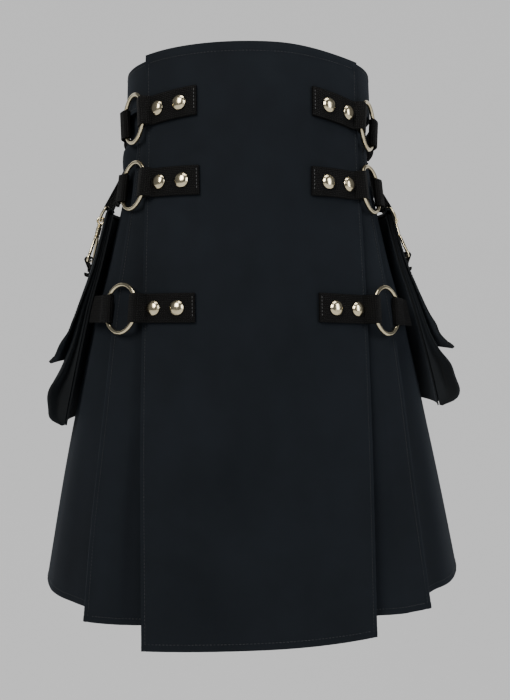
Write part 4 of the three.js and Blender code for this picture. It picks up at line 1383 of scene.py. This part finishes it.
def make_camera():
    """Camera in front of the kilt, level with its lowest straps."""
    camera = bpy.data.cameras.new("camera")
    camera.lens = CAMERA["lens"]
    camera.sensor_width = 36.0
    camera.shift_x, camera.shift_y = CAMERA["shift"]
    camera.dof.use_dof = False
    obj = bpy.data.objects.new("camera", camera)
    bpy.context.collection.objects.link(obj)
    obj.location = CAMERA["location"]
    forward = Vector(CAMERA["forward"]).normalized()
    roll = Matrix.Rotation(math.radians(CAMERA["roll"]), 4, forward)
    obj.rotation_euler = (roll @ forward.to_track_quat("-Z", "Y").to_matrix().to_4x4()).to_euler()
    scene = bpy.context.scene
    scene.camera = obj
    scene.render.resolution_x, scene.render.resolution_y = CAMERA["pixels"]
    return obj


def make_stage():
    line = curve_through([Vector(p) for p in SWEEP], 8)
    points = [Vector((x, p.x, p.y - FLOOR_DROP)) for p in line for x in (-SWEEP_HALF, SWEEP_HALF)]
    faces = [(2 * i, 2 * i + 1, 2 * i + 3, 2 * i + 2) for i in range(len(line) - 1)]
    floor = new_object("studio_sweep", points, faces, sharp=60)
    material, shader, _, at = new_material("studio_paper", (0.5, 0.5, 0.5, 1))
    grain = noise(at, 30.0, 2.0)
    set_shader(shader, at, Base_Color=grain.colour((0.15, 0.15, 0.15, 1), (0.16, 0.16, 0.16, 1)),
               Emission_Color=grain.colour((0.67, 0.67, 0.67, 1), (0.68, 0.68, 0.68, 1)),
               Roughness=0.95, Specular_IOR_Level=0.0, Emission_Strength=1.0)
    floor.data.materials.append(material)

    world = bpy.data.worlds.new("studio_world")
    world.use_nodes = True
    background = world.node_tree.nodes["Background"]
    background.inputs["Color"].default_value = (0.9, 0.93, 1.0, 1)
    background.inputs["Strength"].default_value = 0.13
    bpy.context.scene.world = world
    for light in LIGHTS:
        area_light(**light)
    return make_camera()


# Add-on
class KiltSettings(bpy.types.PropertyGroup):
    cloth: bpy.props.FloatProperty(
        name="Cloth", description="Thickness of the drill", default=0.0015, unit="LENGTH")
    stitch_pitch: bpy.props.FloatProperty(
        name="Stitch pitch", description="From one stitch to the next", default=0.0036, unit="LENGTH")
    stitch_length: bpy.props.FloatProperty(
        name="Stitch length", description="Visible length of a stitch", default=0.0026, unit="LENGTH")


def done(made):
    return {"FINISHED"} if made else {"CANCELLED"}


class KILT_OT_materials(bpy.types.Operator):
    """Make the drill, webbing, plate and thread materials"""
    bl_idname = "kilt.materials"
    bl_label = "Materials"

    def execute(self, context):
        make_materials()
        return done(MATERIALS)


class KILT_OT_apron(bpy.types.Operator):
    """Lay the front apron over the kilt"""
    bl_idname = "kilt.apron"
    bl_label = "Apron"

    def execute(self, context):
        return done(make_apron(context.scene.kilt))


class KILT_OT_skirt(bpy.types.Operator):
    """Make the waistband, the pleated skirt and the under apron"""
    bl_idname = "kilt.skirt"
    bl_label = "Skirt"

    def execute(self, context):
        settings = context.scene.kilt
        return done([make_waistband(settings), make_under_apron(settings), *make_skirt(settings)])


class KILT_OT_straps(bpy.types.Operator):
    """Make the webbing straps with their rings and snap caps"""
    bl_idname = "kilt.straps"
    bl_label = "Straps"

    def execute(self, context):
        return done(make_straps() + make_rings_and_snaps())


class KILT_OT_pockets(bpy.types.Operator):
    """Make the two hung pockets with their fittings"""
    bl_idname = "kilt.pockets"
    bl_label = "Pockets"

    def execute(self, context):
        made = []
        for pocket in POCKETS:
            made += make_pocket(pocket, context.scene.kilt)
            for i, across in enumerate(HOOK_PLACES):
                label = f"{pocket['name']}_{i + 1}"
                for make in (make_d_ring, make_hanger, make_hook, make_tab):
                    made.append(make(pocket, label, across))
        return done(made)


class KILT_OT_sewing(bpy.types.Operator):
    """Sew the visible stitches"""
    bl_idname = "kilt.sewing"
    bl_label = "Sewing"

    def execute(self, context):
        return done(make_sewing(context.scene.kilt))


class KILT_OT_stage(bpy.types.Operator):
    """Set up the sweep, the soft lights and the camera"""
    bl_idname = "kilt.stage"
    bl_label = "Stage"

    def execute(self, context):
        return done([make_stage()])


STEPS = ("materials", "apron", "skirt", "straps", "pockets", "sewing", "stage")


class KILT_PT_panel(bpy.types.Panel):
    """The kilt's steps in the 3D view's sidebar"""
    bl_idname = "KILT_PT_panel"
    bl_label = "Gothic Kilt"
    bl_space_type = "VIEW_3D"
    bl_region_type = "UI"
    bl_category = "Kilt"

    def draw(self, context):
        settings = context.scene.kilt
        for name in ("cloth", "stitch_pitch", "stitch_length"):
            self.layout.prop(settings, name)
        for name in STEPS:
            self.layout.operator(f"kilt.{name}")


CLASSES = (KiltSettings, KILT_OT_materials, KILT_OT_apron, KILT_OT_skirt, KILT_OT_straps, KILT_OT_pockets,
           KILT_OT_sewing, KILT_OT_stage, KILT_PT_panel)


def register():
    for cls in CLASSES:
        bpy.utils.register_class(cls)
    bpy.types.Scene.kilt = bpy.props.PointerProperty(type=KiltSettings)


def unregister():
    del bpy.types.Scene.kilt
    for cls in reversed(CLASSES):
        bpy.utils.unregister_class(cls)


def main():
    register()
    for name in STEPS:
        if getattr(bpy.ops.kilt, name)() != {"FINISHED"}:
            raise RuntimeError(f"kilt.{name} did not finish")


if __name__ == "__main__":
    main()
